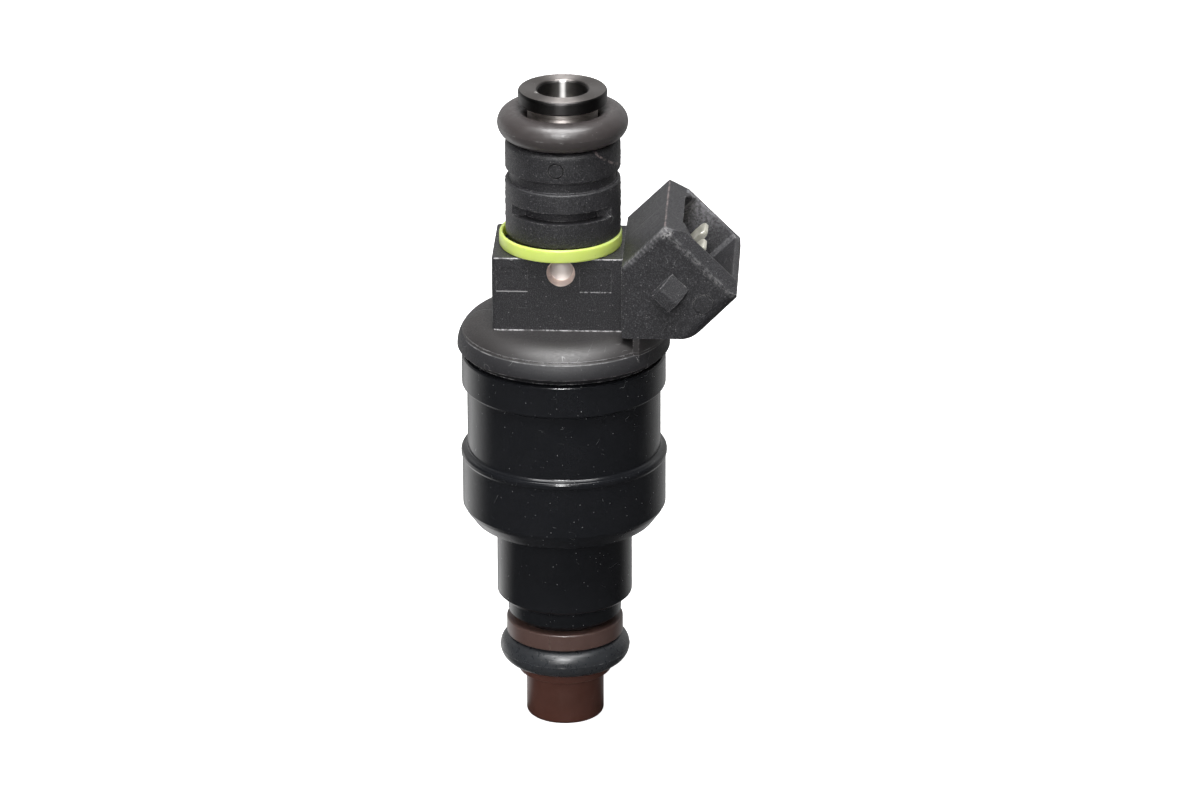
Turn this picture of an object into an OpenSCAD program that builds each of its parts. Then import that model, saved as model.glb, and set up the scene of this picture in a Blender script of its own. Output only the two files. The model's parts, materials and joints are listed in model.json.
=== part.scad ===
// Top-feed electromagnetic fuel injector with a two-pin socket, in millimetres.
// The origin is the centre of the nozzle's end face. +Z runs along the axis to the
// fuel inlet, and the electrical socket leans up and out towards +X.

/* [Inlet tube] */
// Height of the inlet tube's top face above the nozzle's end face
inlet_top_z = 75.4; // [75.0:0.1:76.0]
// Radius of the flared rim at the top of the inlet tube
inlet_rim_r = 5.0; // [4.7:0.05:5.1]
// Radius of the open bore at the top of the inlet tube
inlet_bore_r = 2.8; // [2.7:0.05:2.9]
// Radius of the tube where the plastic body grips it
tube_r = 4.3; // [4.25:0.05:4.5]
// Radius of the soft-iron core that the coil sits around
core_r = 5.0; // [4.95:0.05:5.0]
// Radius of the pole flange that closes the magnetic circuit
pole_flange_r = 9.85; // [9.7:0.05:9.85]

/* [Plastic body] */
// Radius of the stem below the upper O-ring
stem_r = 6.43; // [6.3:0.01:6.5]
// Top of the square block that the colour ring rests on
block_top_z = 57.3; // [57.1:0.1:57.3]
// Half of the block's depth, front to back
block_half_y = 5.45; // [5.2:0.05:5.6]
// Largest radius of the domed shoulder
dome_r = 11.95; // [11.8:0.05:12.1]
// Radius of the dome's rounded shoulder
dome_round_r = 3.45; // [3.2:0.05:3.5]

/* [Electrical socket] */
// Lean of the socket away from the injector's axis, in degrees
socket_tilt = 45; // [45:1:45]
// Half of the socket's long side
socket_half_y = 7.95; // [7.8:0.05:8.2]
// Thickness of the socket's wall
socket_wall = 1.65; // [1.5:0.05:1.7]
// Depth of the socket's cavity
socket_depth = 9.5; // [9.0:0.1:10.0]
// Chamfer around the outside of the socket's mouth
mouth_chamfer = 1.15; // [1.0:0.05:1.2]
// Width of a terminal blade
blade_w = 2.8; // [2.6:0.1:2.8]
// Thickness of a terminal blade
blade_t = 0.8; // [0.7:0.05:0.8]
// Distance between the two blades' centres
blade_pitch = 5.0; // [4.8:0.1:5.2]

/* [Magnet housing] */
// Radius of the housing's slim barrel
barrel_r = 10.9; // [10.8:0.05:10.95]
// Radius of the housing's upper and lower bands
band_r = 11.48; // [11.4:0.02:11.5]
// Radius of the raised bead around the housing
bead_r = 11.62; // [11.6:0.01:11.7]
// Radius of the neck below the barrel
neck_r = 7.66; // [7.5:0.02:7.7]
// Radius of the thin skirt that is crimped onto the nozzle body
skirt_r = 6.42; // [6.35:0.01:6.5]

/* [Nozzle] */
// Radius of the bore that guides the needle
guide_bore_r = 2.0; // [2.0:0.01:2.0]
// Radius of the pintle cap's straight side
cap_r = 4.4; // [4.3:0.01:4.45]
// Radius of the spacer collar above the lower O-ring
collar_r = 6.62; // [6.45:0.01:6.65]
// Distance that the needle lifts off its seat
needle_lift = 0.1; // [0.06:0.01:0.1]

/* [Seals and ring] */
// Radius of both O-rings' rubber section
o_ring_section_r = 1.68; // [1.65:0.01:1.70]
// Outer radius of the upper O-ring
upper_o_ring_r = 7.3; // [7.25:0.01:7.35]
// Outer radius of the lower O-ring
lower_o_ring_r = 7.39; // [7.35:0.01:7.42]
// Outer radius of the colour-code ring
colour_ring_r = 6.86; // [6.8:0.01:7.0]

/* [Hidden] */
$fn = 96;

// Small gaps: a loose assembly gap, a sliding gap on the radius, and a cutter's overshoot
gap = 0.02;
slide_gap = 0.06;
over = 1;

// Heights up the axis, from the nozzle's end face
cap_flange_z = 5.5;
cap_top_z = 6.6;
collar_z = 10.1;
collar_top_z = 12.05;
skirt_bottom_z = 12.3;
crimp_z = 13.2;
skirt_top_z = 14.55;
neck_bottom_z = 15.3;
shim_z = 19.0;
shim_t = 1.0;
armature_z = 20.25;
housing_floor_z = 24.2;
chamber_z = 26.4;
armature_top_z = 28.85;
pole_face_z = 29.0;
sleeve_z = 37.0;
sleeve_top_z = 47.0;
chamber_top_z = 43.0;
band_top_z = 44.3;
dome_base_z = 44.55;
pole_flange_top_z = 45.2;
housing_top_z = 45.9;
stem_top_z = 69.85;

// Radii inside the housing
chamber_r = 9.6;
housing_lip_r = 9.2;
housing_top_r = 10.7;
armature_bore_r = 5.0;
pocket_r = 5.7;
crimp_bore_r = 4.0;

// Inlet tube bores, from the top down
inlet_bore_len = 5.0;
filter_bore_r = 2.3;
filter_bore_z = 57.0;
spring_bore_r = 2.0;
seal_seat_r = 3.9;
seal_seat_top_z = 73.0;
inlet_neck_r = 4.1;
rim_bottom_z = 73.85;
rim_edge_z = 75.2;

// Plastic body
groove_z = 65.1;
groove_top_z = 66.3;
groove_r = 5.95;
clip_slot_z = 61.6;
clip_slot_top_z = 62.9;
clip_slot_r = 5.15;
clip_slot_half_y = 3.3;
ring_seat_r = 6.0;
stem_root_r = 5.0;
ring_seat_h = 1.6;
block_left_x = -7.7;
block_right_x = 6.85;
block_base_z = 47.5;
block_chamfer = 0.3;
port_r = 1.6;
port_inner_r = 1.3;
port_z = 55.6;
recess_depth = 0.1;
recess_z = 53.37;
recess_h = 2.83;
recess_w = 3.5;
recess_left_x = -7.2;
recess_right_x = 2.1;
web_x = 8.1;
web_r = 11.85;
mark_w = 0.12;
mark_depth = 0.07;
mark_u = -26.3;

// Socket, in its own tilted frame: u runs down across the socket, v runs along Y,
// and w runs out of its mouth
socket_u_top = -35.6;
socket_u_low = -24.2;
mouth_w = 53.05;
chamfer_w = mouth_w - mouth_chamfer;
top_chamfer_u = 2.1;
top_chamfer_w = 1.05;
cavity_u_top = socket_u_top + socket_wall + 0.2;
cavity_u_low = socket_u_low - socket_wall - 0.2;
cavity_half_y = socket_half_y - socket_wall;
cavity_w = mouth_w - socket_depth;
key_u = 1.6;
key_v = 2.4;
low_corner_r = 1.5;
socket_base_z = 48.9;
socket_left_x = 6.85;
ridge_z = 57.3;
heel_x = 13.7;
heel_r = 2.6;
blade_u = (cavity_u_top + cavity_u_low) / 2;
blade_tip_w = mouth_w - 0.6;
lead_x = 7.8;
lead_w = 1.8;
lead_bottom_z = 41.9;
lug_u = 2.7;
lug_w = 3.2;
lug_top_w = chamfer_w - 3.0;
lug_h = 1.2;
lug_ramp_w = 1.9;

// Colour ring, which sits loosely and a little to one side on its seat
ring_h = 1.5;
ring_clear = 0.02;
ring_x = -0.28;
ring_y = -0.22;
ring_bore_r = 6.4;

// Fuel filter: a brass collar, a plastic cage and a mesh tube inside the cage's ribs
filter_collar_z = 67.4;
filter_collar_top_z = 70.15;
filter_collar_bore_r = 1.92;
cage_r = 1.9;
cage_bore_r = 1.35;
cage_foot_z = 58.7;
cage_foot_h = 0.9;
cage_ring_z = 66.5;
cage_ring_top_z = 69.9;
rib_w = 0.44;
rib_x = 1.55;
mesh_bore_r = 1.37;
mesh_t = 0.16;

// Needle
needle_shank_r = 1.5;
needle_neck_r = 1.45;
needle_waist_r = 1.3;
needle_land_r = guide_bore_r - 0.04;
needle_top_z = 26.9;
stop_collar_r = 2.9;
stop_collar_top_z = shim_z + gap - needle_lift - 0.03;
stop_collar_t = 0.8;
seat_clear = 0.03;
seat_z = 3.0;
orifice_r = 0.8;

// Return spring
spring_wire_r = 0.24;
spring_mean_r = 1.5;
spring_turns = 9;
spring_dead_turns = 1;
spring_steps = 18;
spring_sides = 8;
spring_z = needle_top_z + gap;
spring_top_z = sleeve_z - gap;

// Points along an arc in a profile, from angle a0 to angle a1
function arc(cx, cy, r, a0, a1, n = 8) =
    [for (i = [0:n]) let (a = a0 + (a1 - a0) * i / n) [cx + r * cos(a), cy + r * sin(a)]];

// A point in the socket's tilted frame as [x, z]
function tilted(u, w) =
    [u * cos(socket_tilt) + w * sin(socket_tilt), w * cos(socket_tilt) - u * sin(socket_tilt)];

// Turns its children into the socket's tilted frame
module in_socket() {
    rotate([0, socket_tilt, 0]) children();
}

// Extrudes an [x, z] outline along Y, centred on y
module side_extrude(half_y, y = 0) {
    translate([0, y + half_y, 0]) rotate([90, 0, 0]) linear_extrude(2 * half_y) children();
}

// A rubber ring with a round section
module o_ring(mid_r, section_r, z) {
    rotate_extrude() translate([mid_r, z]) circle(section_r, $fn = 48);
}

// A shallow circular mark pressed into a face, along the tool's Z axis
module circle_mark(r, depth) {
    difference() {
        cylinder(r = r, h = depth);
        translate([0, 0, -over]) cylinder(r = r - mark_w, h = depth + 2 * over);
    }
}

// Steel inlet tube: fuel connection at the top, pole flange and magnetic core below
module inlet_tube() {
    bore_step_z = inlet_top_z - inlet_bore_len;
    color("dimgray") difference() {
        rotate_extrude() polygon(concat(
            [[spring_bore_r, pole_face_z], [core_r - 0.3, pole_face_z],
             [core_r, pole_face_z + 0.3], [core_r, chamber_top_z],
             [pole_flange_r, chamber_top_z], [pole_flange_r, pole_flange_top_z],
             [5.2, pole_flange_top_z], [tube_r, 46.1], [tube_r, stem_top_z],
             [seal_seat_r, stem_top_z], [seal_seat_r, seal_seat_top_z],
             [inlet_neck_r, seal_seat_top_z + 0.25], [inlet_neck_r, rim_bottom_z - 0.1],
             [inlet_neck_r + 0.1, rim_bottom_z]],
            [[inlet_rim_r - 0.15, rim_bottom_z], [inlet_rim_r - 0.04, rim_bottom_z + 0.1],
             [inlet_rim_r, rim_edge_z], [inlet_rim_r - 0.05, rim_edge_z + 0.1],
             [inlet_rim_r - 0.2, inlet_top_z], [inlet_bore_r + 0.25, inlet_top_z],
             [inlet_bore_r, inlet_top_z - 0.25], [inlet_bore_r, bore_step_z],
             [filter_bore_r, bore_step_z - 0.15], [filter_bore_r, filter_bore_z],
             [spring_bore_r, filter_bore_z - 0.65]]));
        for (side = [-1, 1])
            translate([7.1, side * blade_pitch / 2 - 1.2, chamber_top_z - over])
                cube([1.45, 2.4, pole_flange_top_z - chamber_top_z + 2 * over]);
    }
}

// Round parts of the plastic body: the stem and the domed shoulder over the housing
module stem_solid() {
    rotate_extrude() polygon(concat(
        [[0, block_base_z], [stem_root_r, block_base_z], [stem_root_r, block_top_z],
         [ring_seat_r, block_top_z], [ring_seat_r, block_top_z + ring_seat_h],
         [stem_r - 0.1, block_top_z + ring_seat_h], [stem_r, block_top_z + ring_seat_h + 0.1],
         [stem_r, groove_z - 0.4]],
        arc(stem_r - 0.4, groove_z - 0.4, 0.4, 15, 90, 5),
        [[groove_r, groove_z], [groove_r, groove_top_z - 0.1], [groove_r + 0.15, groove_top_z],
         [stem_r - 0.15, groove_top_z], [stem_r, groove_top_z + 0.15],
         [stem_r, stem_top_z - 0.95]],
        arc(stem_r - 0.7, stem_top_z - 0.95, 0.7, 15, 90, 6),
        [[5.0, stem_top_z - 0.1], [4.9, stem_top_z], [0, stem_top_z]]));
}

module dome_solid() {
    round_x = dome_r - dome_round_r;
    round_z = 45.25;
    rotate_extrude() polygon(concat(
        [[0, 46.12], [tube_r, 46.12], [5.22, pole_flange_top_z + gap],
         [housing_lip_r - gap, pole_flange_top_z + gap], [housing_lip_r - gap, housing_top_z + gap],
         [housing_top_r + gap, housing_top_z + gap], [housing_top_r + gap, dome_base_z],
         [dome_r - 0.33, dome_base_z]],
        arc(round_x, round_z, dome_round_r, 0, 90, 14),
        [[0, round_z + dome_round_r]]));
}

// Square block around the stem's foot, with narrow chamfers on its edges
module block_solid() {
    c = block_chamfer;
    l = block_left_x;
    r = block_right_x;
    intersection() {
        translate([0, 0, block_base_z]) linear_extrude(block_top_z - block_base_z)
            polygon([[l + c, -block_half_y], [r, -block_half_y], [r, block_half_y],
                     [l + c, block_half_y], [l, block_half_y - c], [l, c - block_half_y]]);
        side_extrude(block_half_y + over)
            polygon([[l, block_base_z], [r, block_base_z], [r, block_top_z],
                     [l + 0.25, block_top_z], [l, block_top_z - 0.25]]);
    }
}

// Outside of the socket: its side outline, with the long lower corners rounded
module socket_solid() {
    intersection() {
        side_extrude(socket_half_y)
            polygon(concat(
                [[socket_left_x, socket_base_z]],
                arc(heel_x, socket_base_z + heel_r, heel_r, 270, 315, 6),
                [tilted(socket_u_low, chamfer_w), tilted(socket_u_low - mouth_chamfer, mouth_w),
                 tilted(socket_u_top + top_chamfer_u, mouth_w),
                 tilted(socket_u_top, mouth_w - top_chamfer_w),
                 [socket_left_x, ridge_z]]));
        in_socket() translate([0, 0, 30]) linear_extrude(mouth_w - 30 + over)
            polygon(concat(
                [[-45, -socket_half_y]],
                arc(0.35 + socket_u_low - low_corner_r, low_corner_r - socket_half_y,
                    low_corner_r, 270, 360, 8),
                arc(0.35 + socket_u_low - low_corner_r, socket_half_y - low_corner_r,
                    low_corner_r, 0, 90, 8),
                [[-45, socket_half_y]]));
        // Chamfers of the mouth's two short sides
        in_socket() rotate([0, 0, 90]) rotate([90, 0, 0]) translate([0, 0, -60])
            linear_extrude(60)
            polygon([[-socket_half_y, 20], [socket_half_y, 20], [socket_half_y, chamfer_w],
                     [socket_half_y - mouth_chamfer, mouth_w + 0.001],
                     [mouth_chamfer - socket_half_y, mouth_w + 0.001],
                     [-socket_half_y, chamfer_w]]);
    }
}

// Cavity of the socket, keyed by two cut corners on its upper side
module socket_cavity() {
    in_socket() translate([0, 0, cavity_w]) linear_extrude(socket_depth + over)
        polygon([[cavity_u_top + key_u, -cavity_half_y], [cavity_u_low - 0.4, -cavity_half_y],
                 [cavity_u_low, 0.4 - cavity_half_y], [cavity_u_low, cavity_half_y - 0.4],
                 [cavity_u_low - 0.4, cavity_half_y], [cavity_u_top + key_u, cavity_half_y],
                 [cavity_u_top, cavity_half_y - key_v], [cavity_u_top, key_v - cavity_half_y]]);
}

// Lug on each side of the socket that the plug's wire clip snaps behind
module clip_lugs() {
    for (side = [-1, 1])
        in_socket() translate([blade_u - lug_u / 2, 0, 0]) rotate([90, 0, 90])
            linear_extrude(lug_u)
            polygon([[side * (socket_half_y - 0.2), lug_top_w],
                     [side * socket_half_y, lug_top_w],
                     [side * (socket_half_y + lug_h), lug_top_w - lug_ramp_w],
                     [side * (socket_half_y + lug_h), lug_top_w - lug_w],
                     [side * (socket_half_y - 0.2), lug_top_w - lug_w]]);
}

// Plastic body moulded around the inlet tube, the housing's top and the terminals
module moulded_body() {
    color("#2b2b2e") difference() {
        union() {
            stem_solid();
            dome_solid();
            block_solid();
            socket_solid();
            clip_lugs();
            intersection() {
                translate([0, 0, 46]) cylinder(r = web_r, h = socket_base_z - 46 + 0.1);
                translate([web_x, -socket_half_y, 45]) cube([6, 2 * socket_half_y, 6]);
            }
        }
        // Bore that the inlet tube fills
        translate([0, 0, 40]) cylinder(r = tube_r, h = 40);
        // Clip slots at the front and the back of the stem, with flat end walls
        difference() {
            for (side = [-1, 1])
                translate([-8, side * (clip_slot_half_y + 3) - 3, clip_slot_z])
                    cube([16, 6, clip_slot_top_z - clip_slot_z]);
            translate([0, 0, clip_slot_z - over])
                cylinder(r = clip_slot_r, h = clip_slot_top_z - clip_slot_z + 2 * over);
        }
        // Tapered round port in the block's front that shows the inlet tube
        translate([0, 0, port_z]) rotate([90, 0, 0]) cylinder(r = port_inner_r, h = tube_r + 0.1);
        translate([0, -tube_r, port_z]) rotate([90, 0, 0])
            cylinder(r1 = port_inner_r, r2 = port_r, h = block_half_y - tube_r);
        translate([0, -block_half_y, port_z]) rotate([90, 0, 0]) cylinder(r = port_r, h = over);
        // Two shallow recesses in the block's front
        for (x = [recess_left_x, recess_right_x])
            translate([x, -block_half_y - over, recess_z])
                cube([recess_w, recess_depth + over, recess_h]);
        socket_cavity();
        terminal_solid(-1, gap);
        terminal_solid(1, gap);
        // Ejector and cavity marks
        in_socket() translate([mark_u, mark_depth - socket_half_y, chamfer_w - 3.1])
            rotate([90, 0, 0]) circle_mark(1.2, over);
        difference() {
            translate([-0.45, -5, 67.95]) rotate([90, 0, 0]) circle_mark(0.9, 2);
            translate([0, 0, 60]) cylinder(r = stem_r - mark_depth, h = 12);
        }
    }
}

// One terminal strip, grown by g on every side: -1 is the front one, 1 is the rear one
module terminal_solid(side, g = 0) {
    half_t = blade_t / 2 + g;
    y = side * blade_pitch / 2;
    // The upright lead, then the bend into the tilted strip
    left_bend_z = (lead_x - half_t) - (blade_u - half_t) / cos(socket_tilt);
    right_bend_z = (lead_x + half_t) - (blade_u + half_t) / cos(socket_tilt);
    side_extrude(lead_w / 2 + g, y)
        polygon([[lead_x - half_t, lead_bottom_z - g], [lead_x + half_t, lead_bottom_z - g],
                 [lead_x + half_t, right_bend_z], tilted(blade_u + half_t, cavity_w - 0.5),
                 tilted(blade_u - half_t, cavity_w - 0.5), [lead_x - half_t, left_bend_z]]);
    // The broad contact blade, from just inside the plastic to its bevelled tip
    in_socket() translate([blade_u, y, 0]) intersection() {
        translate([0, 0, cavity_w - 1.5 - g]) linear_extrude(blade_tip_w - cavity_w + 1.5 + 2 * g)
            square([2 * half_t, blade_w + 2 * g], center = true);
        rotate([90, 0, 0]) translate([0, 0, -3]) linear_extrude(6)
            polygon([[-half_t, 0], [half_t, 0], [half_t, blade_tip_w - 0.9],
                     [0.12 + g, blade_tip_w + g], [-0.12 - g, blade_tip_w + g],
                     [-half_t, blade_tip_w - 0.9]]);
        rotate([90, 0, 90]) translate([0, 0, -3]) linear_extrude(6)
            polygon([[-blade_w / 2 - g, 0], [blade_w / 2 + g, 0],
                     [blade_w / 2 + g, blade_tip_w - 0.8], [blade_w / 2 - 0.25, blade_tip_w - 0.3],
                     [blade_w / 2 - 0.8, blade_tip_w + g], [0.8 - blade_w / 2, blade_tip_w + g],
                     [0.25 - blade_w / 2, blade_tip_w - 0.3],
                     [-blade_w / 2 - g, blade_tip_w - 0.8]]);
    }
}

module terminal_blade_front() {
    color("silver") terminal_solid(-1);
}

module terminal_blade_rear() {
    color("silver") terminal_solid(1);
}

// Rubber seal for the fuel rail's cup
module upper_o_ring() {
    color("#544c48") o_ring(upper_o_ring_r - o_ring_section_r, o_ring_section_r,
                            stem_top_z + o_ring_section_r + gap);
}

// Rubber seal for the intake manifold's bore
module lower_o_ring() {
    color("#2c3036") o_ring(lower_o_ring_r - o_ring_section_r, o_ring_section_r,
                            cap_top_z + o_ring_section_r + 0.05);
}

// Loose plastic ring whose colour shows the injector's flow rating
module colour_ring() {
    b = block_top_z + ring_clear;
    c = 0.15;
    color("#c4ee4c") translate([ring_x, ring_y, 0]) rotate_extrude()
        polygon([[ring_bore_r, b], [colour_ring_r - c, b], [colour_ring_r, b + c],
                 [colour_ring_r, b + ring_h - c], [colour_ring_r - c, b + ring_h],
                 [ring_bore_r + c, b + ring_h], [ring_bore_r, b + ring_h - c]]);
}

// Brass sleeve that holds the filter basket in the inlet
module filter_collar() {
    color("goldenrod") rotate_extrude()
        polygon([[filter_collar_bore_r, filter_collar_z], [filter_bore_r - 0.15, filter_collar_z],
                 [filter_bore_r - gap, filter_collar_z + 0.2],
                 [filter_bore_r - gap, filter_collar_top_z],
                 [filter_collar_bore_r, filter_collar_top_z]]);
}

// Plastic basket: a top ring, four ribs and a closed foot
module filter_cage() {
    color("ivory") {
        rotate_extrude()
            polygon([[cage_bore_r, cage_ring_z], [cage_r, cage_ring_z], [cage_r, cage_ring_top_z],
                     [cage_bore_r + 0.2, cage_ring_top_z], [cage_bore_r, cage_ring_top_z - 0.4]]);
        translate([0, 0, cage_foot_z]) cylinder(r1 = cage_r - 0.4, r2 = cage_r, h = cage_foot_h);
        for (turn = [0:90:270])
            rotate([0, 0, turn]) translate([rib_x, -rib_w / 2, cage_foot_z + cage_foot_h - 0.1])
                cube([0.3, rib_w, cage_ring_z - cage_foot_z - cage_foot_h + 0.2]);
    }
}

// Fine mesh tube inside the basket's ribs
module filter_mesh() {
    mesh_z = cage_foot_z + cage_foot_h + gap;
    color("whitesmoke") rotate_extrude()
        translate([mesh_bore_r, mesh_z]) square([mesh_t, cage_ring_z - gap - mesh_z]);
}

// Slotted sleeve pressed into the tube, which sets the spring's load
module adjusting_sleeve() {
    color("darkgray") difference() {
        rotate_extrude()
            polygon([[1.2, sleeve_z], [1.75, sleeve_z], [1.98, sleeve_z + 0.3],
                     [1.98, sleeve_top_z - 0.3], [1.75, sleeve_top_z], [1.2, sleeve_top_z]]);
        translate([0, -0.2, sleeve_z - over]) cube([3, 0.4, sleeve_top_z - sleeve_z + 2 * over]);
    }
}

// Height of the spring's wire centre after t turns: the end turns lie almost flat
function spring_rise(t) =
    let (low = spring_z + spring_wire_r, high = spring_top_z - spring_wire_r,
         flat_rise = spring_dead_turns * 2.1 * spring_wire_r,
         pitch = (high - low - 2 * flat_rise) / (spring_turns - 2 * spring_dead_turns))
    t < spring_dead_turns ? low + 2.1 * spring_wire_r * t :
    t > spring_turns - spring_dead_turns ? high - 2.1 * spring_wire_r * (spring_turns - t) :
    low + flat_rise + pitch * (t - spring_dead_turns);

// Coil spring that closes the valve
module return_spring() {
    rings = spring_turns * spring_steps;
    points = [for (i = [0:rings], k = [0:spring_sides - 1])
        let (t = i / spring_steps, a = 360 * t, b = 360 * k / spring_sides,
             r = spring_mean_r + spring_wire_r * cos(b))
        [r * cos(a), r * sin(a), spring_rise(t) + spring_wire_r * sin(b)]];
    sides = [for (i = [0:rings - 1], k = [0:spring_sides - 1])
        let (n = (k + 1) % spring_sides, p = i * spring_sides, q = p + spring_sides)
        [p + k, p + n, q + n, q + k]];
    first_end = [for (k = [0:spring_sides - 1]) spring_sides - 1 - k];
    last_end = [for (k = [0:spring_sides - 1]) rings * spring_sides + k];
    color("lightsteelblue") polyhedron(points, concat([first_end], sides, [last_end]));
}

// Plastic spool of the coil, with two posts that carry the leads through the pole flange
module coil_bobbin() {
    color("saddlebrown") difference() {
        union() {
            rotate_extrude()
                polygon([[core_r + 0.05, 26.5], [5.97, 26.5], [5.97, 27.6], [7.13, 27.6],
                         [7.13, 26.5], [9.5, 26.5], [9.5, 28.0], [5.65, 28.0], [5.65, 41.4],
                         [9.5, 41.4], [9.5, 42.95], [6.25, 42.95], [6.25, 41.8],
                         [core_r + 0.05, 41.8]]);
            for (side = [-1, 1])
                translate([7.15, side * blade_pitch / 2 - 1.15, 42.5]) cube([1.35, 2.3, 2.65]);
        }
        terminal_solid(-1, gap);
        terminal_solid(1, gap);
    }
}

// Copper winding of the solenoid
module coil_winding() {
    color("sienna") rotate_extrude() translate([5.67, 28.02]) square([3.3, 13.36]);
}

module bobbin_upper_seal() {
    color("black") o_ring(5.64, 0.55, 42.4);
}

module bobbin_lower_seal() {
    color("black") o_ring(6.55, 0.53, 27.0);
}

// Steel housing that carries the magnetic flux, crimped at both ends
module magnet_housing() {
    color("#101012") rotate_extrude() polygon(concat(
        [[housing_lip_r, pole_flange_top_z + gap / 2], [housing_lip_r, housing_top_z],
         [housing_top_r - 0.15, housing_top_z], [housing_top_r, housing_top_z - 0.15],
         [housing_top_r, band_top_z], [band_r - 0.15, band_top_z], [band_r, band_top_z - 0.15],
         [band_r, 40.75], [band_r - 0.1, 40.6], [barrel_r, 40.45], [barrel_r, 32.85]],
        arc(bead_r - 0.55, 32.25, 0.55, 90, 0, 6),
        [[bead_r, 32.1], [bead_r - 0.12, 31.75], [band_r, 31.4], [band_r, 26.2]],
        arc(band_r - 0.4, 26.2, 0.4, -5, -40, 3),
        [[10.25, 24.4], [10.0, housing_floor_z], [neck_r, housing_floor_z],
         [neck_r, neck_bottom_z + 0.1], [neck_r - 0.08, neck_bottom_z], [6.83, skirt_top_z + 0.05],
         [skirt_r + 0.1, skirt_top_z], [skirt_r, skirt_top_z - 0.1], [skirt_r, 13.05],
         [skirt_r - 0.1, 12.85], [5.7, skirt_bottom_z], [crimp_bore_r, skirt_bottom_z],
         [crimp_bore_r, crimp_z], [pocket_r, crimp_z], [pocket_r, shim_z + shim_t],
         [armature_bore_r, shim_z + shim_t], [armature_bore_r, chamber_z],
         [chamber_r, chamber_z], [chamber_r, chamber_top_z - gap],
         [pole_flange_r + gap, chamber_top_z - gap],
         [pole_flange_r + gap, pole_flange_top_z + gap / 2]]));
}

// Iron armature that the coil pulls up, with cross holes for the fuel
module armature() {
    color("gainsboro") difference() {
        rotate_extrude()
            polygon([[needle_shank_r, armature_z], [4.4, armature_z],
                     [armature_bore_r - slide_gap, armature_z + 0.5],
                     [armature_bore_r - slide_gap, armature_top_z - 0.2],
                     [4.7, armature_top_z], [1.95, armature_top_z], [1.95, needle_top_z],
                     [needle_shank_r, needle_top_z]]);
        for (turn = [45:90:315])
            rotate([0, 0, turn]) translate([3.2, 0, armature_z - over])
                cylinder(r = 0.6, h = armature_top_z - armature_z + 2 * over);
    }
}

// Needle: pintle, seat cone, two guide lands, stop collar and the shank in the armature
module valve_needle() {
    cone_z = seat_z + seat_clear * sqrt(2);
    color("lightgray") difference() {
        rotate_extrude()
            polygon([[0, 0.7], [0.95, 0.7], [0.6, 1.3], [0.6, cone_z - 0.2],
                     [orifice_r, cone_z], [1.6, cone_z + 0.8], [1.6, 5.4],
                     [needle_land_r, 5.7], [needle_land_r, 8.0], [needle_waist_r, 8.6],
                     [needle_waist_r, 14.4], [needle_land_r, 15.0], [needle_land_r, 17.2],
                     [needle_neck_r, 17.6],
                     [needle_neck_r, stop_collar_top_z - stop_collar_t],
                     [stop_collar_r, stop_collar_top_z - stop_collar_t],
                     [stop_collar_r, stop_collar_top_z],
                     [needle_neck_r, stop_collar_top_z], [needle_neck_r, armature_z],
                     [needle_shank_r, armature_z], [needle_shank_r, needle_top_z],
                     [0, needle_top_z]]);
        // Flats on the guide lands that let the fuel pass
        for (z = [5.5, 14.8], turn = [0:90:270])
            rotate([0, 0, turn]) translate([1.7, -2, z]) cube([2, 4, 2.65]);
    }
}

// Slotted washer that limits the needle's lift
module stop_shim() {
    color("silver") difference() {
        translate([0, 0, shim_z + 0.01]) cylinder(r = pocket_r - gap, h = shim_t - 0.02);
        translate([0, 0, shim_z - over]) cylinder(r = 1.75, h = shim_t + 2 * over);
        translate([-1.75, -7, shim_z - over]) cube([3.5, 7, shim_t + 2 * over]);
    }
}

// Nozzle body: guides the needle, carries the valve seat and the metering hole
module nozzle_body() {
    color("darkgray") rotate_extrude() polygon(
        [[orifice_r, 2.1], [3.0, 2.1], [3.3, 2.4], [3.3, 4.2], [3.05, 4.35], [3.05, 4.75],
         [3.3, 4.9], [3.3, cap_top_z + gap], [seal_seat_r, cap_top_z + gap],
         [seal_seat_r, crimp_z + 0.01], [pocket_r - gap, crimp_z + 0.01],
         [pocket_r - gap, 15.6], [4.75, 15.6], [4.75, 16.8], [pocket_r - gap, 16.8],
         [pocket_r - gap, shim_z - 0.3], [pocket_r - 0.3, shim_z], [3.1, shim_z],
         [3.1, 17.75], [guide_bore_r, 17.75], [guide_bore_r, seat_z + guide_bore_r - orifice_r],
         [orifice_r, seat_z]]);
}

module nozzle_body_seal() {
    color("black") o_ring(5.22, 0.45, 16.2);
}

// Plastic collar between the housing's skirt and the lower O-ring
module spacer_collar() {
    color("#4a2a22") difference() {
        rotate_extrude()
            polygon([[3.95, collar_z], [collar_r - 0.15, collar_z], [collar_r, collar_z + 0.15],
                     [collar_r, collar_top_z - 0.2], [collar_r - 0.2, collar_top_z],
                     [3.95, collar_top_z]]);
        // Moulding seam down the outside
        rotate([0, 0, 258]) translate([collar_r - 0.08, -0.07, collar_z - over])
            cube([1, 0.14, collar_top_z - collar_z + 2 * over]);
    }
}

// Plastic cap snapped over the nozzle's tip, with its spray opening
module pintle_cap() {
    color("#4a2620") rotate_extrude() polygon(concat(
        [[2.1, 0.35], [2.45, 0]],
        arc(cap_r - 0.5, 0.5, 0.5, -90, 0, 6),
        [[cap_r, cap_flange_z], [5.15, cap_flange_z], [5.3, cap_flange_z + 0.15],
         [5.3, cap_top_z - 0.15], [5.15, cap_top_z], [3.32, cap_top_z], [3.32, 4.93],
         [3.08, 4.77], [3.08, 4.33], [3.32, 4.18], [3.32, 2.05], [2.1, 2.05]]));
}

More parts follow.
